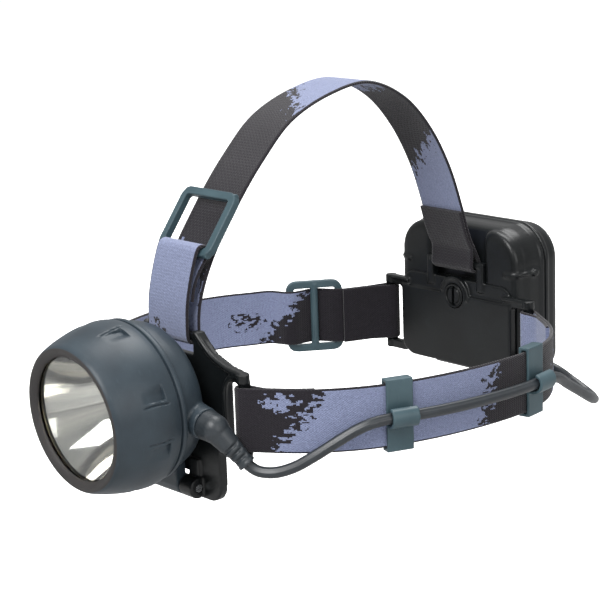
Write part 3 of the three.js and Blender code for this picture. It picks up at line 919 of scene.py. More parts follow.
@dataclass
class StitchRows:
    """Rows of lock stitch: short raised threads along a line."""

    pitch: float = 2.3
    thread: float = 0.3
    length: float = 1.6

    def tree(self) -> bpy.types.NodeTree:
        """Build the tree that lays threads along each line."""
        tree, given = new_tree(
            "Stitch rows",
            [
                ("Pitch", "NodeSocketFloat"),
                ("Thread", "NodeSocketFloat"),
                ("Length", "NodeSocketFloat"),
                ("Material", "NodeSocketMaterial"),
            ],
        )
        line = add_node(tree, "GeometryNodeMeshToCurve", inputs={0: given.outputs["Geometry"]})
        spaced = add_node(
            tree,
            "GeometryNodeResampleCurve",
            {"mode": "LENGTH"},
            {"Curve": line, "Length": given.outputs["Pitch"]},
        )
        ball = add_node(tree, "GeometryNodeMeshUVSphere", inputs={"Segments": 8, "Rings": 6, "Radius": 1.0})
        half = add_node(
            tree, MATH, {"operation": "MULTIPLY"}, {0: given.outputs["Length"], 1: 0.5}
        )
        size = add_node(
            tree,
            "ShaderNodeCombineXYZ",
            inputs={0: given.outputs["Thread"], 1: given.outputs["Thread"], 2: half},
        )
        stitch = add_node(
            tree, "GeometryNodeTransform", inputs={"Geometry": ball.outputs["Mesh"], "Scale": size}
        )
        tangent = add_node(tree, "GeometryNodeInputTangent")
        facing = add_node(tree, "FunctionNodeAlignRotationToVector", {"axis": "Z"}, {"Vector": tangent})
        rows = add_node(
            tree,
            "GeometryNodeInstanceOnPoints",
            inputs={"Points": spaced, "Instance": stitch, "Rotation": facing},
        )
        close_tree(tree, rows, given.outputs["Material"])
        return tree

    def sew(self, name: str, rows: Sequence[Points]) -> bpy.types.Object:
        """Sew rows of stitches along lines given in millimetres.

        Args:
            name: The piece's name.
            rows: The lines.

        Returns:
            The stitches, as one object.
        """
        verts = np.vstack(rows)
        edges: list[tuple[int, int]] = []
        first = 0
        for row in rows:
            edges += [(first + i, first + i + 1) for i in range(len(row) - 1)]
            first += len(row)
        tree = bpy.data.node_groups.get("Stitch rows") or self.tree()
        values = {
            "Pitch": self.pitch * MM,
            "Thread": self.thread * MM,
            "Length": self.length * MM,
            "Material": THREAD.build(),
        }
        return grown(name, tree, values, verts, edges)


@dataclass
class RibRow:
    """A row of rounded ribs at even spacing, such as the thumb grip on the case's lid."""

    size: Triple = (26.0, 1.3, 1.5)
    round_levels: int = 2

    def tree(self) -> bpy.types.NodeTree:
        """Build the tree that puts a rib on each point."""
        tree, given = new_tree("Rib row", [("Size", "NodeSocketVector"), ("Material", "NodeSocketMaterial")])
        cube = add_node(tree, "GeometryNodeMeshCube", inputs={"Size": given.outputs["Size"]})
        cube.inputs["Vertices X"].default_value = 12
        soft = add_node(
            tree,
            "GeometryNodeSubdivisionSurface",
            inputs={"Mesh": cube.outputs["Mesh"], "Level": self.round_levels},
        )
        points = given.outputs["Geometry"]
        rows = add_node(tree, "GeometryNodeInstanceOnPoints", inputs={"Points": points, "Instance": soft})
        close_tree(tree, rows, given.outputs["Material"])
        return tree

    def place(self, name: str, points: Points, finish: Finish) -> bpy.types.Object:
        """Put one rib at each point.

        Args:
            name: The piece's name.
            points: Where the ribs stand.
            finish: Their material.

        Returns:
            The ribs, as one object.
        """
        values = {"Size": tuple(v * MM for v in self.size), "Material": finish.build()}
        return grown(name, self.tree(), values, points, [])


# ---- the lamp ---------------------------------------------------------------------------------------


def joint(name: str) -> dict:
    """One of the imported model's joints."""
    return next(j for j in frame["joints"] if j["name"] == name)


@dataclass
class Lamp:
    """The lamp head: shell, bezel, reflector, lens, bulb and plug. Depth runs forward from the back."""

    bezel_depth: float = 34.0
    segments: int = 600
    marks: int = 8
    jack_depth: float = 11.3
    jack_angle: float = -9.5
    plug_radius: float = 6.0
    plug_start: float = 34.5
    boot_end: Triple = (48.2, -4.8, -20.6)
    rim_depths: Pair = (48.55, 47.0)
    rim_radii: Pair = (28.6, 27.4)

    def __post_init__(self) -> None:
        """Take the lamp's axis and origin from the bezel's joint."""
        turn = joint("bezel_turn")
        self.forward = np.array(turn["axis"], float)
        self.origin = np.array(turn["pos_m"], float) / MM - self.forward * self.bezel_depth
        self.up = np.array([0.0, self.forward[2], -self.forward[1]])

    def place(self, points: Points) -> Points:
        """Carry points from the lamp's own frame to the headlamp's."""
        p = np.asarray(points, float)
        across = np.array([1.0, 0.0, 0.0])
        return (
            self.origin
            + p[..., 0:1] * across
            - p[..., 1:2] * self.forward
            + p[..., 2:3] * self.up
        )

    def outward(self, radius: float) -> Points:
        """A point on the jack's line, at a distance from the lamp's axis.

        Args:
            radius: That distance.

        Returns:
            The point, in the lamp's own frame.
        """
        a = math.radians(self.jack_angle)
        return np.array([radius * math.cos(a), -self.jack_depth, radius * math.sin(a)])

    def grip(self, angle: Points, depth: Points) -> Points:
        """How deep the grip marks are: a thumb pocket, deeper towards the back, and a slash beside it.

        Args:
            angle: Where on the bezel, round the lamp's axis.
            depth: Where on the bezel, from the lamp's back.

        Returns:
            The depth of the marks in millimetres.
        """
        total = np.zeros_like(angle)
        for k in range(self.marks):
            middle = (k + 0.5) * 2 * math.pi / self.marks
            x = ((angle - middle + math.pi) % (2 * math.pi) - math.pi) * 33.4
            side = 1.0 if k % 2 else -1.0
            y = depth - 32.5
            reach = np.clip((5.5 - y) / 10.5, 0, 1)
            across = side * (x - side * 0.8)
            inside = smoothstep((3.2 + 0.6 * reach - across) / 0.4) * smoothstep((across + 3.4) / 4.5)
            ends = smoothstep((y + 5.0) / 0.4) * smoothstep((5.5 - y) / 3)
            total += 1.35 * reach * inside * ends
            line = side * (5.6 - 1.2 * reach + 1.6 * reach**2)
            run = smoothstep((y + 6.8) / 1.5) * smoothstep((5.6 - y) / 2.5)
            total += 0.55 * run * smoothstep((0.6 - np.abs(x - line)) / 0.5)
        return total

    def bezel(self) -> bpy.types.Object:
        """The twist bezel: a grooved band, a slow cone with grip marks, a round nose and a flared rim."""
        band = [(31.2, 18.5), (31.8, 18.5), (32.4, 18.8), (32.6, 19.3), (32.6, 20.3), (32.4, 20.7)]
        groove = [(32.0, 20.8), (31.6, 21.0), (31.6, 21.7), (32.2, 21.9), (32.75, 22.1)]
        cone = through(
            [(32.9, 22.4), (33.4, 24.6), (33.65, 28), (33.3, 33), (32.2, 38.5), (30.7, 44), (29.7, 46.8)],
            0.31,
        )
        nose = [(29.35, 47.7), (28.9, 48.5), (28.4, 49.0), (27.9, 49.3), (27.3, 49.35)]
        rim = [(26.4, 49.0), (25.5, 48.4), (24.9, 47.9), (24.6, 47.5), (24.6, 47.1)]
        inside = [(27.5, 47.1), (27.5, 44.0), (28.6, 38.0), (29.8, 34.0), (31.2, 28.0), (31.2, 22.0)]
        profile = band + groove + [tuple(p) for p in cone] + nose + rim + inside
        verts, faces = turned(profile, self.segments)
        angle = np.arctan2(verts[:, 2], verts[:, 0])
        radius = np.hypot(verts[:, 0], verts[:, 2])
        index = np.arange(len(verts))
        first = len(band + groove) * self.segments
        marked = (index >= first) & (index < first + len(cone) * self.segments)
        cut = np.where(marked, self.grip(angle, -verts[:, 1]), 0.0)
        verts[:, [0, 2]] *= ((radius - cut) / radius)[:, None]
        piece = new_piece("bezel_ring", self.place(verts), faces, 42.0)
        piece.data.materials.append(LAMP_ABS.build())
        piece.data.materials.append(RIM_ABS.build())
        tip, mouth = (np.array(self.rim_depths) - self.bezel_depth) * MM
        tip_radius, mouth_radius = (radius * MM for radius in self.rim_radii)
        middle = Vector(self.origin + self.forward * self.bezel_depth) * MM
        for face in piece.data.polygons:
            ahead = (face.center - middle).dot(Vector(self.forward))
            off_axis = (face.center - middle - Vector(self.forward) * ahead).length
            on_tip = ahead > tip and off_axis < tip_radius
            in_mouth = ahead > mouth and off_axis < mouth_radius
            if on_tip or in_mouth:
                face.material_index = 1
        return settle(piece, Body.BEZEL, LAMP_ABS, ["bezel"])

    def shell(self) -> bpy.types.Object:
        """The domed shell behind the bezel, with its hinge lug and the jack's boss."""
        dome = through(
            [(0, 3), (10, 3.05), (19.4, 3.6), (24.8, 5.4), (28.3, 8.6), (30.1, 13), (30.8, 18)], 0.8
        )
        wall = [(30.8, 19.4), (29.6, 19.6), (29.6, 22.4), (30.8, 22.5), (30.8, 24), (28.4, 24), (28.4, 18)]
        inner = through([(28.0, 15), (26, 9.8), (22.3, 6.8), (12, 5.8), (0, 5.7)], 1.2)
        verts, faces = turned([tuple(p) for p in dome] + wall + [tuple(p) for p in inner], 128)
        verts[np.abs(verts) < 1e-9] = 0.0
        pin = np.array(joint("lamp_tilt")["pos_m"]) / MM
        lug = rod((-8, pin[1], pin[2]), (8, pin[1], pin[2]), TILT_KNUCKLE, sides=32)
        web = block((-8, -9.5, -38), (8, -4.5, -22.5), "web")
        boss = rod(tuple(self.outward(26.4)), tuple(self.outward(34.2)), 6.6, 6.3, 32)
        for part in (web, boss):
            self.move(part)
        shell = joined("lamp_shell", [new_piece("dome", self.place(verts), faces), lug, web, boss])
        moulded(shell, 0.5, 3)
        hole = rod((-20, pin[1], pin[2]), (20, pin[1], pin[2]), TILT_BORE)
        socket = rod(tuple(self.outward(31)), tuple(self.outward(36)), 1.7)
        self.move(socket)
        carved(shell, [hole, socket])
        shade(shell, 40.0)
        return settle(shell, Body.LAMP, LAMP_ABS, ["lamp_housing"])

    def move(self, piece: bpy.types.Object) -> None:
        """Carry a piece that was made in the lamp's own frame to its place."""
        co = np.array([v.co for v in piece.data.vertices]) / MM
        piece.data.vertices.foreach_set("co", (self.place(co) * MM).ravel())
        piece.data.update()

    def reflector(self) -> bpy.types.Object:
        """The paraboloid bowl, grown by a geometry tree from its rule, and given its wall."""
        tree = self.bowl_tree()
        values = {
            "Neck depth": 16.0 * MM,
            "Mouth depth": 42.6 * MM,
            "Neck radius": 5.5 * MM,
            "Mouth radius": 25.7 * MM,
            "Material": MIRROR.build(),
        }
        bowl = grown("reflector_bowl", tree, values, np.zeros((1, 3)), [])
        self.move(bowl)
        bm = bmesh.new()
        bm.from_mesh(bowl.data)
        bmesh.ops.remove_doubles(bm, verts=bm.verts, dist=1e-6)
        face = bm.faces[:][len(bm.faces) // 2]
        middle = Vector(self.origin) * MM
        ahead = (face.calc_center_median() - middle).dot(Vector(self.forward))
        outward = face.calc_center_median() - middle - Vector(self.forward) * ahead
        if face.normal.dot(outward) > 0:
            bmesh.ops.reverse_faces(bm, faces=bm.faces)
        bm.to_mesh(bowl.data)
        bm.free()
        wall = bowl.modifiers.new("wall", "SOLIDIFY")
        wall.thickness = 1.0 * MM
        wall.offset = -1.0
        applied(bowl)
        shade(bowl, 50.0)
        return settle(bowl, Body.OPTICS, MIRROR, ["reflector"])

    @staticmethod
    def bowl_tree() -> bpy.types.NodeTree:
        """Build the tree for a paraboloid: radius squared grows evenly with depth."""
        tree, given = new_tree(
            "Paraboloid bowl",
            [
                ("Neck depth", "NodeSocketFloat"),
                ("Mouth depth", "NodeSocketFloat"),
                ("Neck radius", "NodeSocketFloat"),
                ("Mouth radius", "NodeSocketFloat"),
                ("Material", "NodeSocketMaterial"),
            ],
        )

        add = {"operation": "ADD"}
        multiply = {"operation": "MULTIPLY"}
        power = {"operation": "POWER"}
        subtract = {"operation": "SUBTRACT"}
        sheet = add_node(
            tree,
            "GeometryNodeMeshGrid",
            inputs={"Size X": 1.0, "Size Y": 1.0, "Vertices X": 48, "Vertices Y": 193},
        )
        position = add_node(tree, "GeometryNodeInputPosition")
        spot = add_node(tree, "ShaderNodeSeparateXYZ", inputs={0: position})
        from_neck = add_node(tree, MATH, add, {0: spot.outputs["X"], 1: 0.5})
        rise = add_node(tree, MATH, power, {0: from_neck, 1: 1.5})
        from_seam = add_node(tree, MATH, add, {0: spot.outputs["Y"], 1: 0.5})
        turn = add_node(tree, MATH, multiply, {0: from_seam, 1: 2 * math.pi})
        span = add_node(
            tree, MATH, subtract, {0: given.outputs["Mouth depth"], 1: given.outputs["Neck depth"]}
        )
        risen = add_node(tree, MATH, multiply, {0: rise, 1: span})
        depth = add_node(tree, MATH, add, {0: risen, 1: given.outputs["Neck depth"]})
        neck = add_node(tree, MATH, power, {0: given.outputs["Neck radius"], 1: 2.0})
        mouth = add_node(tree, MATH, power, {0: given.outputs["Mouth radius"], 1: 2.0})
        growth = add_node(tree, MATH, subtract, {0: mouth, 1: neck})
        grown_by = add_node(tree, MATH, multiply, {0: rise, 1: growth})
        squared = add_node(tree, MATH, add, {0: grown_by, 1: neck})
        radius = add_node(tree, MATH, {"operation": "SQRT"}, {0: squared})
        cosine = add_node(tree, MATH, {"operation": "COSINE"}, {0: turn})
        sine = add_node(tree, MATH, {"operation": "SINE"}, {0: turn})
        point = add_node(
            tree,
            "ShaderNodeCombineXYZ",
            inputs={
                0: add_node(tree, MATH, multiply, {0: radius, 1: cosine}),
                1: add_node(tree, MATH, multiply, {0: depth, 1: -1.0}),
                2: add_node(tree, MATH, multiply, {0: radius, 1: sine}),
            },
        )
        angle = add_node(tree, "ShaderNodeCombineXYZ", inputs={0: cosine, 1: sine})
        held = add_node(tree, "GeometryNodeCaptureAttribute")
        held.capture_items.new("VECTOR", "Angle")
        tree.links.new(sheet.outputs["Mesh"], held.inputs["Geometry"])
        tree.links.new(angle.outputs[0], held.inputs["Angle"])
        bent = add_node(
            tree,
            "GeometryNodeSetPosition",
            inputs={"Geometry": held.outputs["Geometry"], "Position": point},
        )
        kept = add_node(
            tree,
            "GeometryNodeStoreNamedAttribute",
            {"data_type": "FLOAT_VECTOR", "domain": "POINT"},
            {"Geometry": bent, "Name": "around"},
        )
        tree.links.new(held.outputs["Angle"], kept.inputs["Value"])
        close_tree(tree, kept, given.outputs["Material"])
        return tree

    def lens(self) -> bpy.types.Object:
        """The window: flat behind and slightly crowned in front."""
        crown = through([(26.4, 46.3), (20, 46.6), (11, 46.8), (0, 46.85)], 1.0)
        outline = [(0, 45.0), (26.7, 45.0), (27.0, 45.3), (27.0, 46.0)] + [tuple(p) for p in crown]
        verts, faces = turned(outline, 128)
        verts[np.abs(verts) < 1e-9] = 0.0
        window = new_piece("lens_window", self.place(verts), faces, 40.0)
        return settle(window, Body.OPTICS, LENS, ["lens"])

    def bulb(self) -> bpy.types.Object:
        """The bulb's envelope: a short tube with a round nose."""
        nose = arc((0.0, 22.2), 2.8, 0, 90, 10)
        verts, faces = turned([(0.0, 16.4), (2.6, 16.4), (2.8, 16.8)] + nose[:-1] + [(0.0, 25.0)], 32)
        envelope = new_piece("bulb_envelope", self.place(verts), faces, 50.0)
        return settle(envelope, Body.LAMP, BULB, ["bulb_glass"])

    def plug(self) -> bpy.types.Object:
        """The right-angle plug: a round body, a domed elbow and a boot with three relief slots."""
        elbow = self.outward(38.8)
        tip = np.array(self.boot_end)
        body = rod(tuple(self.outward(self.plug_start)), tuple(elbow), self.plug_radius, 5.7, 32)
        dome = arc((0.0, 0.0), 5.75, -90, 90, 13)
        verts, faces = turned([(0.0, -5.75)] + dome[1:-1] + [(0.0, 5.75)], 32)
        cap = new_piece("cap", verts + elbow, faces)
        path = evenly(np.array([elbow, tip]), 0.3)
        total = float(np.linalg.norm(tip - elbow))

        def boot_radius(s: Points, angle: Points) -> Points:
            """Taper, a bead at the end, and slots that stop short of the two sides."""
            radius = 5.0 - 1.75 * smoothstep(s / total)
            for slot in (9.6, 12.3, 15.0):
                side = smoothstep((np.abs(np.cos(angle)) - 0.25) / 0.2)
                radius -= 0.9 * side * smoothstep((0.75 - np.abs(s - slot)) / 0.35)
            return radius + 0.35 * smoothstep((s - total + 1.6) / 0.8)

        boot = swept("boot", path, boot_radius, 32)
        plug = joined("plug_body", [body, cap, boot])
        self.move(plug)
        moulded(plug, 0.28, 3)
        return settle(plug, Body.LAMP, PLUG_PVC, ["lead_plug"])

    def build(self) -> None:
        """Make every piece of the lamp."""
        self.bezel()
        self.shell()
        self.reflector()
        self.lens()
        self.bulb()
        self.plug()
        for node, finish in {
            "lens_gasket": NITRILE,
            "housing_o_ring": NITRILE,
            "bulb_holder": BLACK_NYLON,
            "bulb_base": BRASS,
            "bulb_spring": STEEL,
        }.items():
            dress_node(node, finish)


# ---- webbing ----------------------------------------------------------------------------------------


@dataclass(frozen=True)
class Tones:
    """How a strap's two yarns change over along it.

    `changes` are (distance, slope) pairs: where the middle of the strap swaps yarn, and how far that place
    shifts for each millimetre across. `spots` are (distance, across, radius) patches of the other yarn.
    """

    starts_light: bool
    changes: tuple[Pair, ...]
    spots: tuple[Triple, ...] = ()

    def field(self, s: Points, v: Points) -> Points:
        """Above zero where the light yarn shows; it grows by one for each 5 mm from a change.

        Args:
            s: Distances along the strap.
            v: Distances across it.

        Returns:
            The tone at each place.
        """
        gaps = np.stack([s - (place + slope * v) for place, slope in self.changes])
        swaps = (gaps > 0).sum(axis=0) + (0 if self.starts_light else 1)
        sign = np.where(swaps % 2 == 0, 1.0, -1.0)
        tone = sign * np.clip(np.abs(gaps).min(axis=0) / 5.0, 0, 4)
        for place, across, radius in self.spots:
            near = radius - np.hypot((s - place) / 1.6, v - across)
            tone = np.where(near > 0, -sign * near / 5.0, np.where(near > -3, sign * -near / 5.0, tone))
        return tone


@dataclass
class Strap:
    """A length of 25 mm elastic along a path, with raised ribs across it and rolled edges."""

    name: str
    path: Points
    across: Triple
    tones: Tones
    width: float = 25.0
    thick: float = 1.4
    rib: float = 1.3
    rib_height: float = 0.07

    def __post_init__(self) -> None:
        """Sample the path finely and find the strap's face directions."""
        self.path = evenly(self.path, 0.42)
        self.s = lengths(self.path)
        self.side = np.array(self.across, float)
        face = np.cross(directions(self.path), self.side)
        self.normal = face / np.linalg.norm(face, axis=1)[:, None]

    def point(self, s: Points, v: Points, lift: float) -> Points:
        """A point on the strap at a distance along, a distance across and a height off its middle.

        Args:
            s: The distance along.
            v: The distance across.
            lift: The height.

        Returns:
            The point or points.
        """
        middle = np.stack([np.interp(s, self.s, self.path[:, k]) for k in range(3)], axis=-1)
        normal = np.stack([np.interp(s, self.s, self.normal[:, k]) for k in range(3)], axis=-1)
        return middle + np.asarray(v)[..., None] * self.side + normal * lift

    def build(self, body: Body, nodes: Sequence[str]) -> bpy.types.Object:
        """Make the woven strap and hand it to the frame."""
        half, h = self.width / 2, self.thick / 2
        top = [(-half, 0.25), (-half + 0.12, 0.55), (-half + 0.5, 0.85), (-half + 1.0, 1.0)]
        top += [(v, 0.94) for v in np.linspace(-half + 1.6, half - 1.6, 9)]
        top += [(half - 1.0, 1.0), (half - 0.5, 0.85), (half - 0.12, 0.55), (half, 0.25)]
        loop = np.array(top + [(v, -t) for v, t in reversed(top)])
        v, t = loop[:, 0], loop[:, 1] * h
        wave = self.rib_height * np.cos(self.s * 2 * math.pi / self.rib)
        inner = (np.abs(v) < half - 0.8)[None, :] * np.sign(t)[None, :] * wave[:, None]
        lift = t[None, :] + inner
        verts = self.path[:, None] + v[None, :, None] * self.side + lift[..., None] * self.normal[:, None]
        rows, columns = len(self.path), len(v)
        faces = grid_faces(rows, columns)
        last = (rows - 1) * columns
        faces += [tuple(range(columns - 1, -1, -1)), tuple(range(last, last + columns))]
        obj = new_piece(self.name, verts.reshape(-1, 3), faces, 75.0)
        s_all, v_all = np.repeat(self.s, columns), np.tile(v, rows)
        mesh = obj.data
        tone = mesh.attributes.new("tone", "FLOAT", "POINT")
        tone.data.foreach_set("value", self.tones.field(s_all, v_all))
        corner = np.empty(len(mesh.loops), int)
        mesh.loops.foreach_get("vertex_index", corner)
        weave = mesh.uv_layers.new(name="weave")
        weave.data.foreach_set("uv", np.stack([s_all[corner], v_all[corner]], axis=1).ravel())
        return settle(obj, body, WEBBING, nodes)


def around_post(post: Pair, radius: float, start: Pair, end: Pair, via: Pair, count: int = 7) -> list[Pair]:
    """Points round half a post, from one direction to another by way of a third.

    Args:
        post: The post's middle.
        radius: From there to the strap's middle.
        start: The unit direction at which the strap meets the post.
        end: The unit direction at which it leaves.
        via: The unit direction of the far side.
        count: How many points.

    Returns:
        The points in order.
    """
    first = math.atan2(start[1], start[0])
    middle = math.atan2(via[1], via[0])
    last = math.atan2(end[1], end[0])
    to_middle = (middle - first + math.pi) % (2 * math.pi) - math.pi
    to_last = (last - middle + math.pi) % (2 * math.pi) - math.pi
    angles = [first + to_middle * f for f in np.linspace(0, 1, count // 2 + 1)]
    angles += [middle + to_last * f for f in np.linspace(0, 1, count // 2 + 1)[1:]]
    return [(post[0] + radius * math.cos(a), post[1] + radius * math.sin(a)) for a in angles]


def sewn_end(route: Points, post: Pair, radius: float, tail: float, inside: float) -> list[Pair]:
    """The loop at the start of a route: a tail that lies against it, and the turn round a post.

    Args:
        route: The strap's middle line, leaving the post, in two dimensions.
        post: The post's middle.
        radius: From there to the strap's middle.
        tail: How long the tail is.
        inside: +1 if the tail lies to the left of the route, -1 if to the right.

    Returns:
        Points from the tail's end to where the route starts.
    """
    d = directions(route)
    left = np.stack([-d[:, 1], d[:, 0]], axis=1) * inside
    s = lengths(route)
    laid = []
    for along in np.linspace(tail, radius * 3.2, 6):
        i = int(np.searchsorted(s, along))
        laid.append(tuple(route[i] + left[i] * 1.5))
    start, away = left[0], -d[0]
    turn = around_post(post, radius, tuple(start), tuple(-start), tuple(away))
    return laid + turn


@dataclass
class Harness:
    """The head harness: two level bands, the crown strap, their buckles and the keepers for the lead."""

    wrap: float = 2.75
    front_post: Pair = (42.0, -79.0)
    rear_post: Pair = (42.3, 79.8)
    brow_bar: Pair = (-78.2, 27.0)
    rear_bar: Pair = (79.3, 28.4)
    near_route: tuple[Pair, ...] = (
        (43.8, -81.2), (62.5, -66.5), (77, -46), (85, -20), (88, 8), (86.5, 32), (80, 50), (67, 66.5),
        (44, 82),
    )
    far_route: tuple[Pair, ...] = (
        (-43.8, -81.2), (-62.5, -66.5), (-77, -46), (-85, -20), (-86.6, -2), (-83.4, 14)
    )
    crown_route: tuple[Pair, ...] = (
        (81.95, 28.4), (80.6, 32.4), (77.4, 38), (74.4, 45), (71.6, 54), (64, 74), (52.6, 92.7), (38, 107),
        (18, 115.3), (-4, 112.6), (-25, 104), (-40, 90.5), (-49.5, 80), (-58, 69), (-65.5, 58.5), (-71.5, 47),
        (-74.9, 36), (-75.35, 27.6),
    )
    crown_buckle: Pair = (-64.6, 68.6)
    band_buckle: Pair = (-60.9, 48.2)

    def near(self) -> None:
        """The band on the wearer's left, sewn round a post at each end."""
        route = through(self.near_route, 1.0)
        front = sewn_end(route, self.front_post, self.wrap, 27.0, 1.0)
        rear = sewn_end(route[::-1], self.rear_post, self.wrap, 27.0, -1.0)[::-1]
        middle = [tuple(p) for p in route[8:-8:6]]
        path = through(front + middle + rear, 0.8)
        tones = Tones(False, ((60.0, 0.85), (140.0, 0.35), (196.0, 0.4)), ((52.0, 7.0, 2.5),))
        strap = Strap("near_webbing", np.c_[path, np.zeros(len(path))], (0, 0, 1), tones)
        strap.build(Body.HARNESS, ["near_band"])
        self.sew(strap, (46.0, strap.s[-1] - 46.0), -1.0)

    def far(self) -> None:
        """The band on the wearer's right, threaded through the ladder buckle."""
        along = np.array([0.54, 0.84]) / math.hypot(0.54, 0.84)
        inward = np.array([along[1], -along[0]])
        centre = np.array(self.band_buckle)
        weave = [(-20, -3.4), (-11.3, 2.1), (0, -2.15), (11.3, 2.1), (20.0, 0.6)]
        threaded = [tuple(centre + along * a + inward * b) for a, b in weave]
        rear_start = tuple(np.array([-self.rear_post[0], self.rear_post[1]]) + [-2.4, -1.2])
        route = through(list(self.far_route) + [(-79.0, 24.0)] + threaded + [rear_start], 1.0)
        front = sewn_end(route, (-self.front_post[0], self.front_post[1]), self.wrap, 27.0, -1.0)
        rear = sewn_end(route[::-1], (-self.rear_post[0], self.rear_post[1]), self.wrap, 22.0, 1.0)[::-1]
        middle = [tuple(p) for p in route[8:-8:4]]
        path = through(front + middle + rear, 0.8)
        tones = Tones(True, ((175.0, 0.95),), ((157.0, -1.0, 3.0),))
        strap = Strap("far_webbing", np.c_[path, np.zeros(len(path))], (0, 0, 1), tones)
        strap.build(Body.HARNESS, ["far_band"])
        self.sew(strap, (46.0,), 1.0)

    def crown(self) -> None:
        """The strap over the head: looped at the case, under the brow bar, and up to the slider."""
        route = through(self.crown_route, 1.0)
        rear = sewn_end(route, self.rear_bar, 2.65, 27.5, 1.0)
        under = around_post(self.brow_bar, self.wrap, (1, 0), (-1, 0), (0, -1), 9)
        along, out = np.array([0.6, 0.8]), np.array([-0.8, 0.6])
        bar = tuple(np.array(self.crown_buckle) - along * 12.4)
        rise = [(-81.0, 33.0), (-80.4, 40.0), (-78.9, 47.0), (-76.8, 54.0)]
        fold = around_post(bar, 2.75, tuple(out), tuple(-out), tuple(along))
        tail = [(-72.6, 53.2), (-75.2, 49.4), (-77.0, 45.2), (-78.0, 40.5)]
        path = through(rear + [tuple(p) for p in route[8:-2:5]] + under + rise + fold + tail, 0.8)
        full = np.c_[np.zeros(len(path)), path]
        tones = Tones(
            False,
            ((47.0, 0.0), (92.0, 1.0), (135.5, 0.3), (178.5, 0.9), (262.0, 0.7)),
            ((290.0, -6.0, 5.0),),
        )
        strap = Strap("crown_webbing", full, (1, 0, 0), tones)
        strap.build(Body.HARNESS, ["crown_strap"])
        LOG.info("crown strap is %.0f mm along its middle", strap.s[-1])

    def sew(self, strap: Strap, places: Sequence[float], face: float) -> None:
        """Two rows of stitches at each place along a strap.

        Args:
            strap: The strap.
            places: Distances along it.
            face: +1 or -1: which face shows them.
        """
        rows = []
        for place in places:
            for shift in (-1.6, 1.6):
                v = np.linspace(-10.6, 10.6, 30)
                rows.append(strap.point(np.full(30, place + shift), v, face * 0.85))
        stitches = StitchRows().sew(f"{strap.name}_stitches", rows)
        settle(stitches, Body.HARNESS, THREAD)

    def slider(self, name: str, size: Triple, bars: Sequence[float], frame_at: tuple, node: str) -> None:
        """A moulded buckle: a rounded frame with bars across it.

        Args:
            name: The piece's name.
            size: Half its length, half its width and its thickness.
            bars: Where bars cross it, from its middle.
            frame_at: Its middle, the strap's direction and the direction away from the strap.
            node: The CAD node that it stands for.
        """
        half_l, half_w, thick = size
        rim = 3.3
        outline = rounded_rect(half_l, half_w, 4.5, 8)
        body = prism(outline, -thick / 2, thick / 2)
        window = prism(rounded_rect(half_l - rim, half_w - rim, 1.2, 4), -thick, thick)
        carved(body, [window])
        parts = [body]
        for x in bars:
            parts.append(rod((x, 0, -half_w + 1.5), (x, 0, half_w - 1.5), POST, sides=20))
        buckle = joined(name, parts)
        centre, along, out = (np.array(a, float) for a in frame_at)
        along /= np.linalg.norm(along)
        out /= np.linalg.norm(out)
        co = np.array([v.co for v in buckle.data.vertices]) / MM
        co[:, 1] += 0.022 * np.abs(co[:, 2]) ** 1.5 * 0.6
        placed = centre + co[:, 0:1] * along - co[:, 1:2] * out + co[:, 2:3] * np.cross(along, out)
        buckle.data.vertices.foreach_set("co", (placed * MM).ravel())
        face_outward(buckle)
        moulded(buckle, 0.33, 4)
        settle(buckle, Body.HARNESS, TEAL_ACETAL, [node])

    def keeper(self, name: str, centre: Pair, along: Pair, node: str) -> None:
        """A flat sleeve round the band, with a hook outside it that holds the lead.

        Args:
            name: The piece's name.
            centre: Where it stands on the band, seen from above.
            along: The band's direction there.
            node: The CAD node that it stands for.
        """
        half, wall = 5.5, 1.2
        inner, outer = 1.15, 12.95
        wide, tall = inner + wall, outer + wall
        sleeve = block((-wide, -half, -tall), (wide, half, tall))
        gap = block((-inner, -half - 1, -outer), (inner, half + 1, outer))
        carved(sleeve, [gap])
        side = inner + wall
        reach = side + 5.1
        hook_route = [
            (side - 0.4, 0, -3.6), (side + 2.2, 0, -3.6), (reach - 0.6, 0, -2.6),
            (reach + 0.5, 0, 0), (reach - 0.5, 0, 2.6), (reach - 2.2, 0, 3.4),
        ]
        flat = through(hook_route, 0.4)[:, [0, 2]]
        d = directions(flat)
        n = np.stack([-d[:, 1], d[:, 0]], axis=1) * 0.65
        outline = [tuple(p) for p in flat + n] + [tuple(p) for p in (flat - n)[::-1]]
        hook = prism(outline, -half, half)
        piece = joined(name, [sleeve, hook])
        co = np.array([v.co for v in piece.data.vertices]) / MM
        run = np.array([along[0], along[1], 0.0]) / math.hypot(*along)
        out = np.array([run[1], -run[0], 0.0])
        middle = np.array([centre[0], centre[1], 0.0])
        placed = middle + co[:, 0:1] * out + co[:, 1:2] * run + co[:, 2:3] * np.array([0.0, 0.0, 1.0])
        piece.data.vertices.foreach_set("co", (placed * MM).ravel())
        face_outward(piece)
        moulded(piece, 0.3, 2)
        settle(piece, Body.HARNESS, TEAL_ACETAL, [node])

    def build(self) -> None:
        """Make every piece of the harness."""
        self.near()
        self.far()
        self.crown()
        y, z = self.crown_buckle
        self.slider(
            "crown_slider", (14.0, 16.5, 3.2), (-12.4, 12.4), ((0, y, z), (0, 0.6, 0.8), (0, -0.8, 0.6)),
            "crown_buckle",
        )
        x, y = self.band_buckle
        self.slider(
            "band_slider", (13.0, 16.5, 2.7), (0.0,), ((x, y, 0), (0.54, 0.84, 0), (0.84, -0.54, 0)),
            "band_buckle",
        )
        self.keeper("keeper_front", (80.8, -35.7), (0.32, 0.947), "lead_keeper_front")
        self.keeper("keeper_rear", (86.15, 33.0), (-0.19, 0.982), "lead_keeper_rear")


# ---- plates -----------------------------------------------------------------------------------------


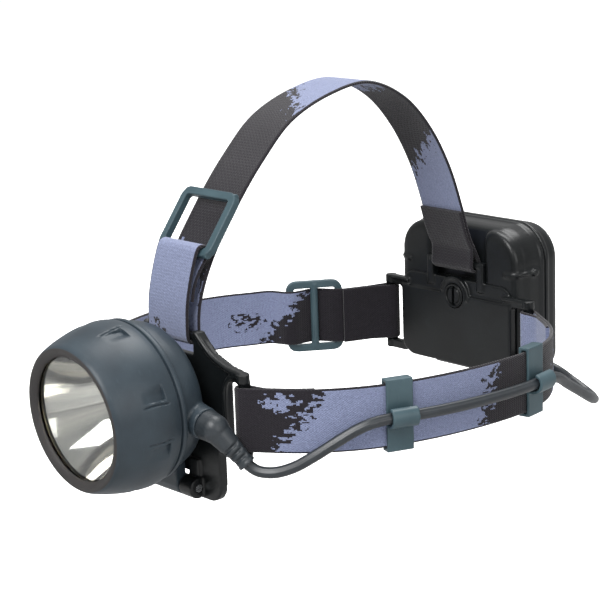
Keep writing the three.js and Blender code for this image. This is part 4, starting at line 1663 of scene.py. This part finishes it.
def ear(side: Side, post: Pair, y0: float, y1: float, inner: float) -> list[bpy.types.Object]:
    """The loop at one side of a plate: a rounded frame, a post for the strap and its two ends.

    Args:
        side: Which side of the plate.
        post: Where the post stands, on the left.
        y0: The front of the frame.
        y1: Its back.
        inner: Where the frame joins the plate.

    Returns:
        The closed shells that make the loop.
    """
    s = side.value
    middle, half = (inner + post[0] + 1.9) / 2, (post[0] + 1.9 - inner) / 2
    outline = [(s * middle + x, z) for x, z in rounded_rect(half, 17.2, 4.2)]
    ring = prism(outline, y0, y1)
    slot = prism([(s * (post[0] - 4.7) + x, z) for x, z in rounded_rect(4.1, 13.3, 2.2, 6)], y0 - 3, y1 + 3)
    carved(ring, [slot])
    bar = rod((s * post[0], post[1], -15.5), (s * post[0], post[1], 15.5), POST)
    ends = [
        rod((s * post[0], post[1], z), (s * post[0], post[1], z + 3.6), 2.7)
        for z in (13.6, -17.2)
    ]
    return [ring, bar, *ends]


def ear_rib(side: Side, y: float) -> bpy.types.Object:
    """The raised rib that sweeps down the inner edge of an ear's slot.

    Args:
        side: Which side of the plate.
        y: The depth of its face.

    Returns:
        The rib.
    """
    s = side.value
    route = [
        (41.5, y + 0.5, 15.6), (36.5, y, 15.3), (33.4, y - 0.3, 12), (32.5, y - 0.5, 4),
        (33.0, y - 0.3, -6), (35.4, y, -12.6), (38.5, y + 0.5, -15.0),
    ]
    return swept("rib", through([(s * a, b, c) for a, b, c in route], 0.6), 0.95, 12)


@dataclass
class BrowMount:
    """The plate against the forehead that the lamp tilts on, its pad and its hinge pin."""

    front: float = -80.0
    back: float = -76.5
    half_width: float = 27.0
    top: float = 20.0
    bottom: float = -38.0
    post: Pair = (42.0, -79.0)
    bar: Pair = (-78.2, 27.0)

    def plate(self) -> None:
        """The plate with its ears, shoulders, strap bar and hinge knuckles, as one moulding."""
        pin = np.array(joint("lamp_tilt")["pos_m"]) / MM
        mid, half = (self.top + self.bottom) / 2, (self.top - self.bottom) / 2
        outline = [(x, z + mid) for x, z in rounded_rect(self.half_width, half, 7.0)]
        parts = [prism(outline, self.front, self.back)]
        for side in Side:
            s = side.value
            parts += ear(side, self.post, self.front, self.back, 21.0)
            parts.append(ear_rib(side, self.front - 0.2))
            shoulder = [
                (12.9, 12), (22, 8), (33, 13.6), (43, 13.6), (43.4, 17.4),
                (34, 18.8), (25, 22), (19.5, 26.5), (16.8, 29.6), (13.4, 29.6),
            ]
            parts.append(prism([(s * x, z) for x, z in shoulder], self.front, self.back))
            edge = [(15.2, 0, 29.2), (19, 0, 26), (25, 0, 21.4), (34, 0, 18.1), (42, 0.4, 16.6)]
            edge_path = through([(s * x, self.front + y, z) for x, y, z in edge], 0.8)
            parts.append(swept("edge", edge_path, 1.15, 12))
            parts.append(rod((s * 8.4, pin[1], pin[2]), (s * 16, pin[1], pin[2]), TILT_KNUCKLE, sides=32))
            parts.append(block((min(s * 9, s * 15), -81.5, -34), (max(s * 9, s * 15), -79, -22)))
        parts.append(rod((-15, *self.bar), (15, *self.bar), POST))
        plate = joined("brow_frame", parts)
        moulded(plate, 0.45, 4)
        notch = block((-8.4, -84, -46), (8.4, -70, pin[2] + 5.2))
        hole = rod((-20, pin[1], pin[2]), (20, pin[1], pin[2]), TILT_BORE)
        carved(plate, [notch, hole])
        shade(plate, 40.0)
        settle(plate, Body.HARNESS, BLACK_NYLON, ["brow_plate"])

    def pad(self) -> None:
        """The foam pad: blown out a little by a cloth solve, so its faces crown and its edges pull in."""
        low, high = (np.array(c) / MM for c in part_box("brow_pad"))
        centre, half = (low + high) / 2, (high - low) / 2
        outline = [(x + centre[0], z + centre[2]) for x, z in rounded_rect(half[0] - 0.8, half[2] - 0.8, 7.5)]
        pad = prism(outline, low[1] + 0.5, high[1] - 0.7, "brow_cushion")
        remesh = pad.modifiers.new("even", "REMESH")
        remesh.mode = "VOXEL"
        remesh.voxel_size = 1.3 * MM
        applied(pad)
        rest = np.array([v.co for v in pad.data.vertices])
        self.puff(pad)
        moved = np.array([v.co for v in pad.data.vertices]) - rest
        far = np.linalg.norm(moved, axis=1)
        cap = 0.9 * MM
        scale = np.where(far > cap, cap / np.maximum(far, 1e-9), 1.0)
        co = rest + moved * scale[:, None]
        co[:, 1] = np.clip(co[:, 1], (low[1] + 0.02) * MM, high[1] * MM)
        pad.data.vertices.foreach_set("co", co.ravel())
        finer = pad.modifiers.new("finer", "SUBSURF")
        finer.levels = finer.render_levels = 1
        applied(pad)
        shade(pad, 180.0)
        settle(pad, Body.HARNESS, FOAM, ["brow_pad"])

    @staticmethod
    def puff(pad: bpy.types.Object) -> None:
        """Blow the pad up with Blender's cloth, for twenty frames with no gravity.

        Args:
            pad: The pad; its mesh is replaced.
        """
        cloth = pad.modifiers.new("puff", "CLOTH")
        cloth.settings.use_pressure = True
        cloth.settings.uniform_pressure_force = 4.0
        cloth.settings.effector_weights.gravity = 0.0
        for frame_number in range(1, 21):
            bpy.context.scene.frame_set(frame_number)
        applied(pad)
        bpy.context.scene.frame_set(1)

    def build(self) -> None:
        """Make the mount."""
        self.plate()
        self.pad()
        dress_node("tilt_pin", STEEL)


# ---- the battery case -------------------------------------------------------------------------------


@dataclass
class BatteryCase:
    """The case behind the head: the plate that the harness is threaded through, a body, a lid and cells."""

    half_width: float = 36.0
    top: float = 45.0
    bottom: float = -20.0
    face: float = 82.0
    seam: float = 97.0
    back: float = 108.0
    top_corner: float = 14.0
    bottom_corner: float = 9.0
    crown: float = 1.6
    wall: float = 2.0
    screw_z: float = 13.5
    rear_post: Pair = (42.3, 79.8)
    rear_bar: Pair = (79.3, 28.4)
    gland: Triple = (36.4, 90.0, -13.0)
    hinge: Pair = (97.2, -23.0)
    knuckle: float = 2.6
    hinge_bore: float = 1.4

    def ring(self, y: float, inset: float) -> list[Triple]:
        """The case's outline at one depth, with its crowned top.

        Args:
            y: The depth.
            inset: How far the outline is drawn in.

        Returns:
            The outline's points.
        """
        w = self.half_width - inset
        mid = (self.top + self.bottom) / 2
        h = (self.top - self.bottom) / 2 - inset
        high, low = max(self.top_corner - inset, 3.0), max(self.bottom_corner - inset, 3.0)
        corners = [(w - high, h - high, high, 0), (high - w, h - high, high, 90),
                   (low - w, low - h, low, 180), (w - low, low - h, low, 270)]
        flat = [p for x, z, r, a in corners for p in arc((x, z), r, a, a + 90, 14)]
        return [(x, y, z + mid + self.lift(x / w, z / h)) for x, z in flat]

    def lift(self, across: float, rise: float) -> float:
        """How far the crowned top stands up; both measures run from -1 to 1 over the case."""
        return self.crown * math.cos(across * math.pi / 2) * max(rise, 0) ** 3

    def loft(self, name: str, rings: Sequence[Pair]) -> bpy.types.Object:
        """A closed shell through several outlines, capped at both ends.

        Args:
            name: The object's name.
            rings: The depth and the inset of each outline.

        Returns:
            The new object.
        """
        verts = [p for y, inset in rings for p in self.ring(y, inset)]
        n = len(self.ring(0, 0))
        last = (len(rings) - 1) * n
        faces = grid_faces(len(rings), n)
        faces += [tuple(range(n - 1, -1, -1)), tuple(range(last, last + n))]
        return new_piece(name, np.array(verts), faces)

    def shoulder(self, s: float) -> bpy.types.Object:
        """The full, soft-edged step beside the strap's channel, as wide as the case and down to the plate.

        Args:
            s: +1 on the left, -1 on the right.

        Returns:
            The closed shell.
        """
        rings = [(79.6, 4.0), (79.75, 2.4), (80.4, 1.0), (81.6, 0.2), (85.0, 0.0)]
        verts = []
        for y, inset in rings:
            w, r = self.half_width - 0.7 - inset, self.top_corner - inset
            low, inner = 14.0 + inset * 0.3, 16.2 + inset * 0.6
            top = self.top - 0.3 - inset
            outline = arc((w - r, top - r), r, 0, 90, 14) + arc((inner + 3.5, top - 3.5), 3.5, 90, 180, 6)
            outline += [(inner, low), (w, low)]
            verts += [(s * a, y, b) for a, b in outline]
        n = len(verts) // len(rings)
        faces = grid_faces(len(rings), n)
        faces += [tuple(range(n - 1, -1, -1)), tuple(range(4 * n, 5 * n))]
        step = new_piece("shoulder", np.array(verts), faces)
        face_outward(step)
        return step

    def body(self) -> None:
        """The half against the head, with soft shoulders beside the strap's channel, beads and knuckles."""
        rings = [(self.face, 7.5), (82.15, 5.2), (82.7, 3.0), (83.8, 1.3), (85.6, 0.4), (88, 0), (94.6, 0),
                 (95.0, -0.7), (96.6, -0.7), (self.seam, -0.3), (self.seam, self.wall), (84.6, self.wall),
                 (84.6, self.wall + 8)]
        shell = self.loft("case_front", rings)
        parts = [shell]
        for side in Side:
            s = side.value
            parts.append(self.shoulder(s))
            bead = [
                (36.4, 93.5, 27.2), (36.4, 88, 27.1), (36.1, 84, 27), (34.9, 81.2, 26.9),
                (32.4, 79.7, 26.7), (28.6, 79.3, 26.5),
            ]
            bead_path = through([(s * x, y, z) for x, y, z in bead], 0.8)
            parts.append(swept("bead", bead_path, 0.85, 12))
            parts.append(rod((s * 34.5, 90, 27), (s * 38.3, 90, 27), 1.7))
            parts.append(rod((s * 10, *self.hinge), (s * 30, *self.hinge), self.knuckle))
            parts.append(block((min(s * 10, s * 30), 94.6, -23.5), (max(s * 10, s * 30), 96.8, -19)))
        body = moulded(joined("case_front", parts), 0.6, 3)
        x, y, z = self.gland
        tools = [
            rod((0, 78, self.screw_z), (0, 86, self.screw_z), 2.4),
            rod((x - 5, y, z), (x + 4, y, z), 3.5),
            rod((-40, *self.hinge), (40, *self.hinge), self.hinge_bore),
            block((-14.5, 80, 21.5), (14.5, 83.1, 50)),
        ]
        carved(body, tools)
        shade(body, 40.0)
        settle(body, Body.HARNESS, BLACK_NYLON, ["case_body"])

    def lid(self) -> None:
        """The lid: a soft-edged tray with a raised panel, its lip and its hinge knuckle."""
        s = self.seam + 0.35
        panel = self.back - 0.9
        rings = [
            (s, 2.0), (s, -0.3), (s + 0.4, -0.7), (s + 2.0, -0.7), (s + 2.4, 0), (103.5, 0.2), (105.8, 1.0),
            (107.2, 2.6), (107.9, 5.0), (self.back - 0.05, 8.0), (panel, 9.2), (panel, 16),
        ]
        inner = [(105.6, 16), (105.6, 4.5), (104.4, 2.6), (102, self.wall)]
        shell = self.loft("lid_shell", inner + rings)
        knuckle = rod((-9.6, *self.hinge), (9.6, *self.hinge), self.knuckle)
        root = block((-9.6, 97.5, -23.5), (9.6, 99.9, -19))
        lid = moulded(joined("case_lid", [shell, knuckle, root]), 0.6, 3)
        carved(lid, [rod((-40, *self.hinge), (40, *self.hinge), self.hinge_bore)])
        shade(lid, 40.0)
        settle(lid, Body.COVER, BLACK_NYLON, ["case_cover"])
        rows = np.array([(0.0, self.back - 0.75, z) for z in np.arange(17.0, 31.0, 2.8)])
        ribs = RibRow((24.0, 1.8, 1.5)).place("lid_thumb_ribs", rows, BLACK_NYLON)
        shade(ribs, 60.0)
        settle(ribs, Body.COVER, BLACK_NYLON)

    def plate(self) -> None:
        """The harness plate: a stepped face, a hood over the screw, ears at both sides and the strap bar."""
        z_mid, z_half = 1.5, 19.5
        back = prism([(x, z + z_mid) for x, z in rounded_rect(33.0, z_half, 6.0)], 78.7, 81.6)
        step, hood = 14.2, 8.8
        arch = arc((0.0, step - 0.6), hood, 176, 4, 17)
        lower = arc((25.5, -10.5), 7.5, 0, -90, 8) + arc((-25.5, -10.5), 7.5, -90, -180, 8)
        face = [(-33.0, step)] + arch + [(33.0, step)] + lower
        parts = [back, prism(face, 77.4, 79.5)]
        for side in Side:
            s = side.value
            parts += ear(side, self.rear_post, 77.9, 81.5, 29.0)
            bar = [(13.4, 17), (17.2, 17), (17.2, 30), (13.4, 30)]
            parts.append(prism([(s * x, z) for x, z in bar], 77.9, 81.5))
            rim = through([(s * 29, 77.7, 16.4), (s * 36, 77.9, 16.6), (s * 42.4, 78.6, 16.3)], 0.8)
            parts.append(swept("rim", rim, 0.9, 12))
        parts.append(rod((-15, *self.rear_bar), (15, *self.rear_bar), POST))
        brim = arc((0.0, self.screw_z), hood - 0.7, 165, -10, 12)
        lip = through([(x, 77.5, z) for x, z in brim], 0.6)
        parts.append(swept("lip", lip, 0.8, 12))
        plate = moulded(joined("harness_frame", parts), 0.42, 3)
        seat = rod((0, 70, self.screw_z), (0, 79.65, self.screw_z), 5.8, sides=40)
        hole = rod((0, 70, self.screw_z), (0, 90, self.screw_z), 2.35)
        carved(plate, [seat, hole])
        shade(plate, 40.0)
        settle(plate, Body.HARNESS, BLACK_NYLON, ["harness_plate"])

    def screw(self) -> None:
        """The coin screw: a dished head with a raised middle and a slot across it."""
        z = self.screw_z
        outline = [
            (0.0, -76.95), (3.3, -76.9), (3.7, -77.4), (4.2, -77.5), (4.6, -76.8), (5.1, -76.7),
            (5.4, -77.1), (5.4, -79.3), (2.0, -79.3), (2.0, -84.0), (0.0, -84.0),
        ]
        verts, faces = turned(outline, 64)
        verts[:, 2] += z
        screw = new_piece("coin_screw", verts, faces, 30.0)
        carved(screw, [block((-0.8, 70, z - 4.3), (0.8, 78.2, z + 4.3))])
        shade(screw, 30.0)
        settle(screw, Body.LOCK, BLACK_NYLON, ["lock_screw"])

    def grommet(self) -> None:
        """The strain relief: a cone with two relief grooves where the lead leaves the case."""
        x, y, z = self.gland
        path = evenly(np.array([(x - 3, y, z), (x + 4.1, y, z)], float), 0.2)

        def radius(s: Points, angle: Points) -> Points:
            """A neck through the wall, a collar and grooves in the cone."""
            r = np.where(s < 3.0, 3.0, 4.3 - 0.3 * (s - 3.0))
            for groove in (4.4, 5.9):
                r = r - 0.6 * smoothstep((0.5 - np.abs(s - groove)) / 0.25)
            return r

        piece = swept("case_grommet", path, radius, 32)
        settle(piece, Body.HARNESS, NITRILE, ["lead_gland"])

    def build(self) -> None:
        """Make every piece of the case and dress what is inside it."""
        self.plate()
        self.screw()
        self.body()
        self.lid()
        self.grommet()
        inside = {
            "case_gasket": NITRILE,
            "cover_pin": STEEL,
            "cell_cradle": BLACK_NYLON,
            "contact_strip_left": BRASS,
            "contact_strip_right": BRASS,
        }
        for number in range(1, 5):
            inside[f"cell_{number}"] = SLEEVE
            inside[f"cell_spring_{number}"] = STEEL
        for node, finish in inside.items():
            dress_node(node, finish)


# ---- the lead ---------------------------------------------------------------------------------------


@dataclass
class PowerLead:
    """The twin-core lead, from the plug's boot, along the left band through both keepers, to the case."""

    diameter: float = 4.4
    route: tuple[Triple, ...] = (
        (46.6, -84.6, -13.7), (48.7, -82.9, -16.5), (51.6, -81.1, -18.4), (56.4, -77.6, -18.8),
        (62.4, -72.8, -16.6), (68.4, -67, -12),
        (73.6, -60.6, -7), (78, -54, -2.8), (81, -49, -0.8), (83.6, -42.4, 0), (87.1, -32, 0), (90, -20, 0),
        (92, -6, 0), (92.8, 8, 0), (92.6, 20, 0), (91.8, 28.4, 0), (89.9, 39.8, 0), (87.7, 47.6, -2),
        (85, 56, -6.6), (82.2, 66, -12), (78.4, 78, -18.4), (72.4, 87.6, -22.2), (64, 93.6, -22.6),
        (55, 94, -19.2), (47.6, 91.4, -14.6), (41.1, 90.1, -13),
    )

    def build(self) -> None:
        """Draw the lead as one fixed piece and hide the CAD one."""
        path = through(self.route, 1.1)

        def twin(s: Points, angle: Points) -> Points:
            """Two round cores under one jacket: a shallow valley along each side."""
            valley = np.exp(-((np.abs(np.sin(angle + 0.5)) / 0.3) ** 2))
            return self.diameter / 2 * (1.0 - 0.16 * valley)

        lead = swept("power_cable", path, twin, 28)
        shade(lead, 60.0)
        lead.data.materials.append(CORD_PVC.build())
        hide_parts("power_lead")
        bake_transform(lead)


# ---- camera, light and floor ------------------------------------------------------------------------


@dataclass
class Studio:
    """A pale floor under soft lights, and the camera beside the wearer's left cheek."""

    azimuth: float = 49.0
    elevation: float = 14.0
    roll: float = -2.0
    distance: float = 800.0
    target: Triple = (0.0, -8.0, 14.0)
    lens: float = 115.2
    shift: Pair = (-0.0167, 0.05)
    floor: float = -88.0
    reach: float = 14000.0
    bounce: float = 0.5

    def camera(self) -> None:
        """Set the camera."""
        az, el = math.radians(self.azimuth), math.radians(self.elevation)
        back = Vector((math.sin(az) * math.cos(el), -math.cos(az) * math.cos(el), math.sin(el)))
        right = Vector((0, 0, 1)).cross(back).normalized()
        up = back.cross(right)
        turn = Matrix.Rotation(math.radians(self.roll), 3, back)
        right, up = turn @ right, turn @ up
        data = bpy.data.cameras.new("camera")
        data.lens = self.lens
        data.sensor_width = 36.0
        data.shift_x, data.shift_y = self.shift
        data.clip_start = 0.01
        obj = bpy.data.objects.new("camera", data)
        axes = Matrix((right, up, back)).transposed().to_4x4()
        place = (Vector(self.target) + back * self.distance) * MM
        obj.matrix_world = Matrix.Translation(place) @ axes
        bpy.context.scene.collection.objects.link(obj)
        bpy.context.scene.camera = obj

    def light(self, name: str, place: Triple, size: float, power: float) -> None:
        """A soft square light that faces the lamp.

        Args:
            name: Its name.
            place: Where it stands, in metres.
            size: Its width in metres.
            power: Its power in watts.
        """
        data = bpy.data.lights.new(name, "AREA")
        data.size = size
        data.energy = power
        obj = bpy.data.objects.new(name, data)
        obj.location = place
        obj.rotation_euler = (Vector((0, 0, 0.02)) - Vector(place)).to_track_quat("-Z", "Y").to_euler()
        bpy.context.scene.collection.objects.link(obj)

    def floor_sheet(self) -> None:
        """A wide pale floor that looks white and throws less light back than it seems to."""
        corners = [(-1, -1), (1, -1), (1, 1), (-1, 1)]
        verts = np.array([(x * self.reach, y * self.reach, self.floor) for x, y in corners])
        floor = new_piece("floor", verts, [(0, 1, 2, 3)])
        material = bpy.data.materials.new("Paper sweep, matt")
        material.use_nodes = True
        shader = material.node_tree.nodes["Principled BSDF"]
        tree = material.node_tree
        seen = add_node(tree, "ShaderNodeLightPath").outputs["Is Camera Ray"]
        paper = add_node(
            tree, MIX, {"data_type": "RGBA"}, {0: seen, 6: srgb("b4b4b4"), 7: srgb("ffffff")}
        )
        tree.links.new(paper.outputs[2], shader.inputs["Base Color"])
        glow = add_node(tree, MATH, {"operation": "MULTIPLY"}, {0: seen, 1: self.bounce})
        tree.links.new(glow.outputs[0], shader.inputs["Emission Strength"])
        shader.inputs["Emission Color"].default_value = (1.0, 1.0, 1.0, 1.0)
        shader.inputs["Roughness"].default_value = 0.95
        shader.inputs["Specular IOR Level"].default_value = 0.1
        floor.data.materials.append(material)

    def build(self) -> None:
        """Set the stage."""
        self.camera()
        self.floor_sheet()
        self.light("key", (0.35, -1.1, 1.15), 0.8, 24.0)
        self.light("fill", (1.3, -0.2, 0.5), 0.8, 5.0)
        self.light("top", (-0.2, 0.5, 1.4), 1.0, 22.0)
        world = bpy.data.worlds.new("studio")
        world.use_nodes = True
        tree = world.node_tree
        back = tree.nodes["Background"]
        back.inputs["Color"].default_value = (1.0, 1.0, 1.0, 1.0)
        seen = add_node(tree, "ShaderNodeLightPath").outputs["Is Camera Ray"]
        level = add_node(tree, RANGE, inputs={"Value": seen, "To Min": self.bounce, "To Max": 1.0})
        tree.links.new(level.outputs[0], back.inputs["Strength"])
        bpy.context.scene.world = world
        bpy.context.scene.view_settings.view_transform = "Standard"


def main() -> None:
    """Build the headlamp in order: camera and lead first, then each sub-assembly."""
    logging.basicConfig(level=logging.INFO, format="%(message)s")
    Studio().build()
    PowerLead().build()
    Lamp().build()
    BrowMount().build()
    Harness().build()
    BatteryCase().build()


if __name__ == "__main__":
    main()
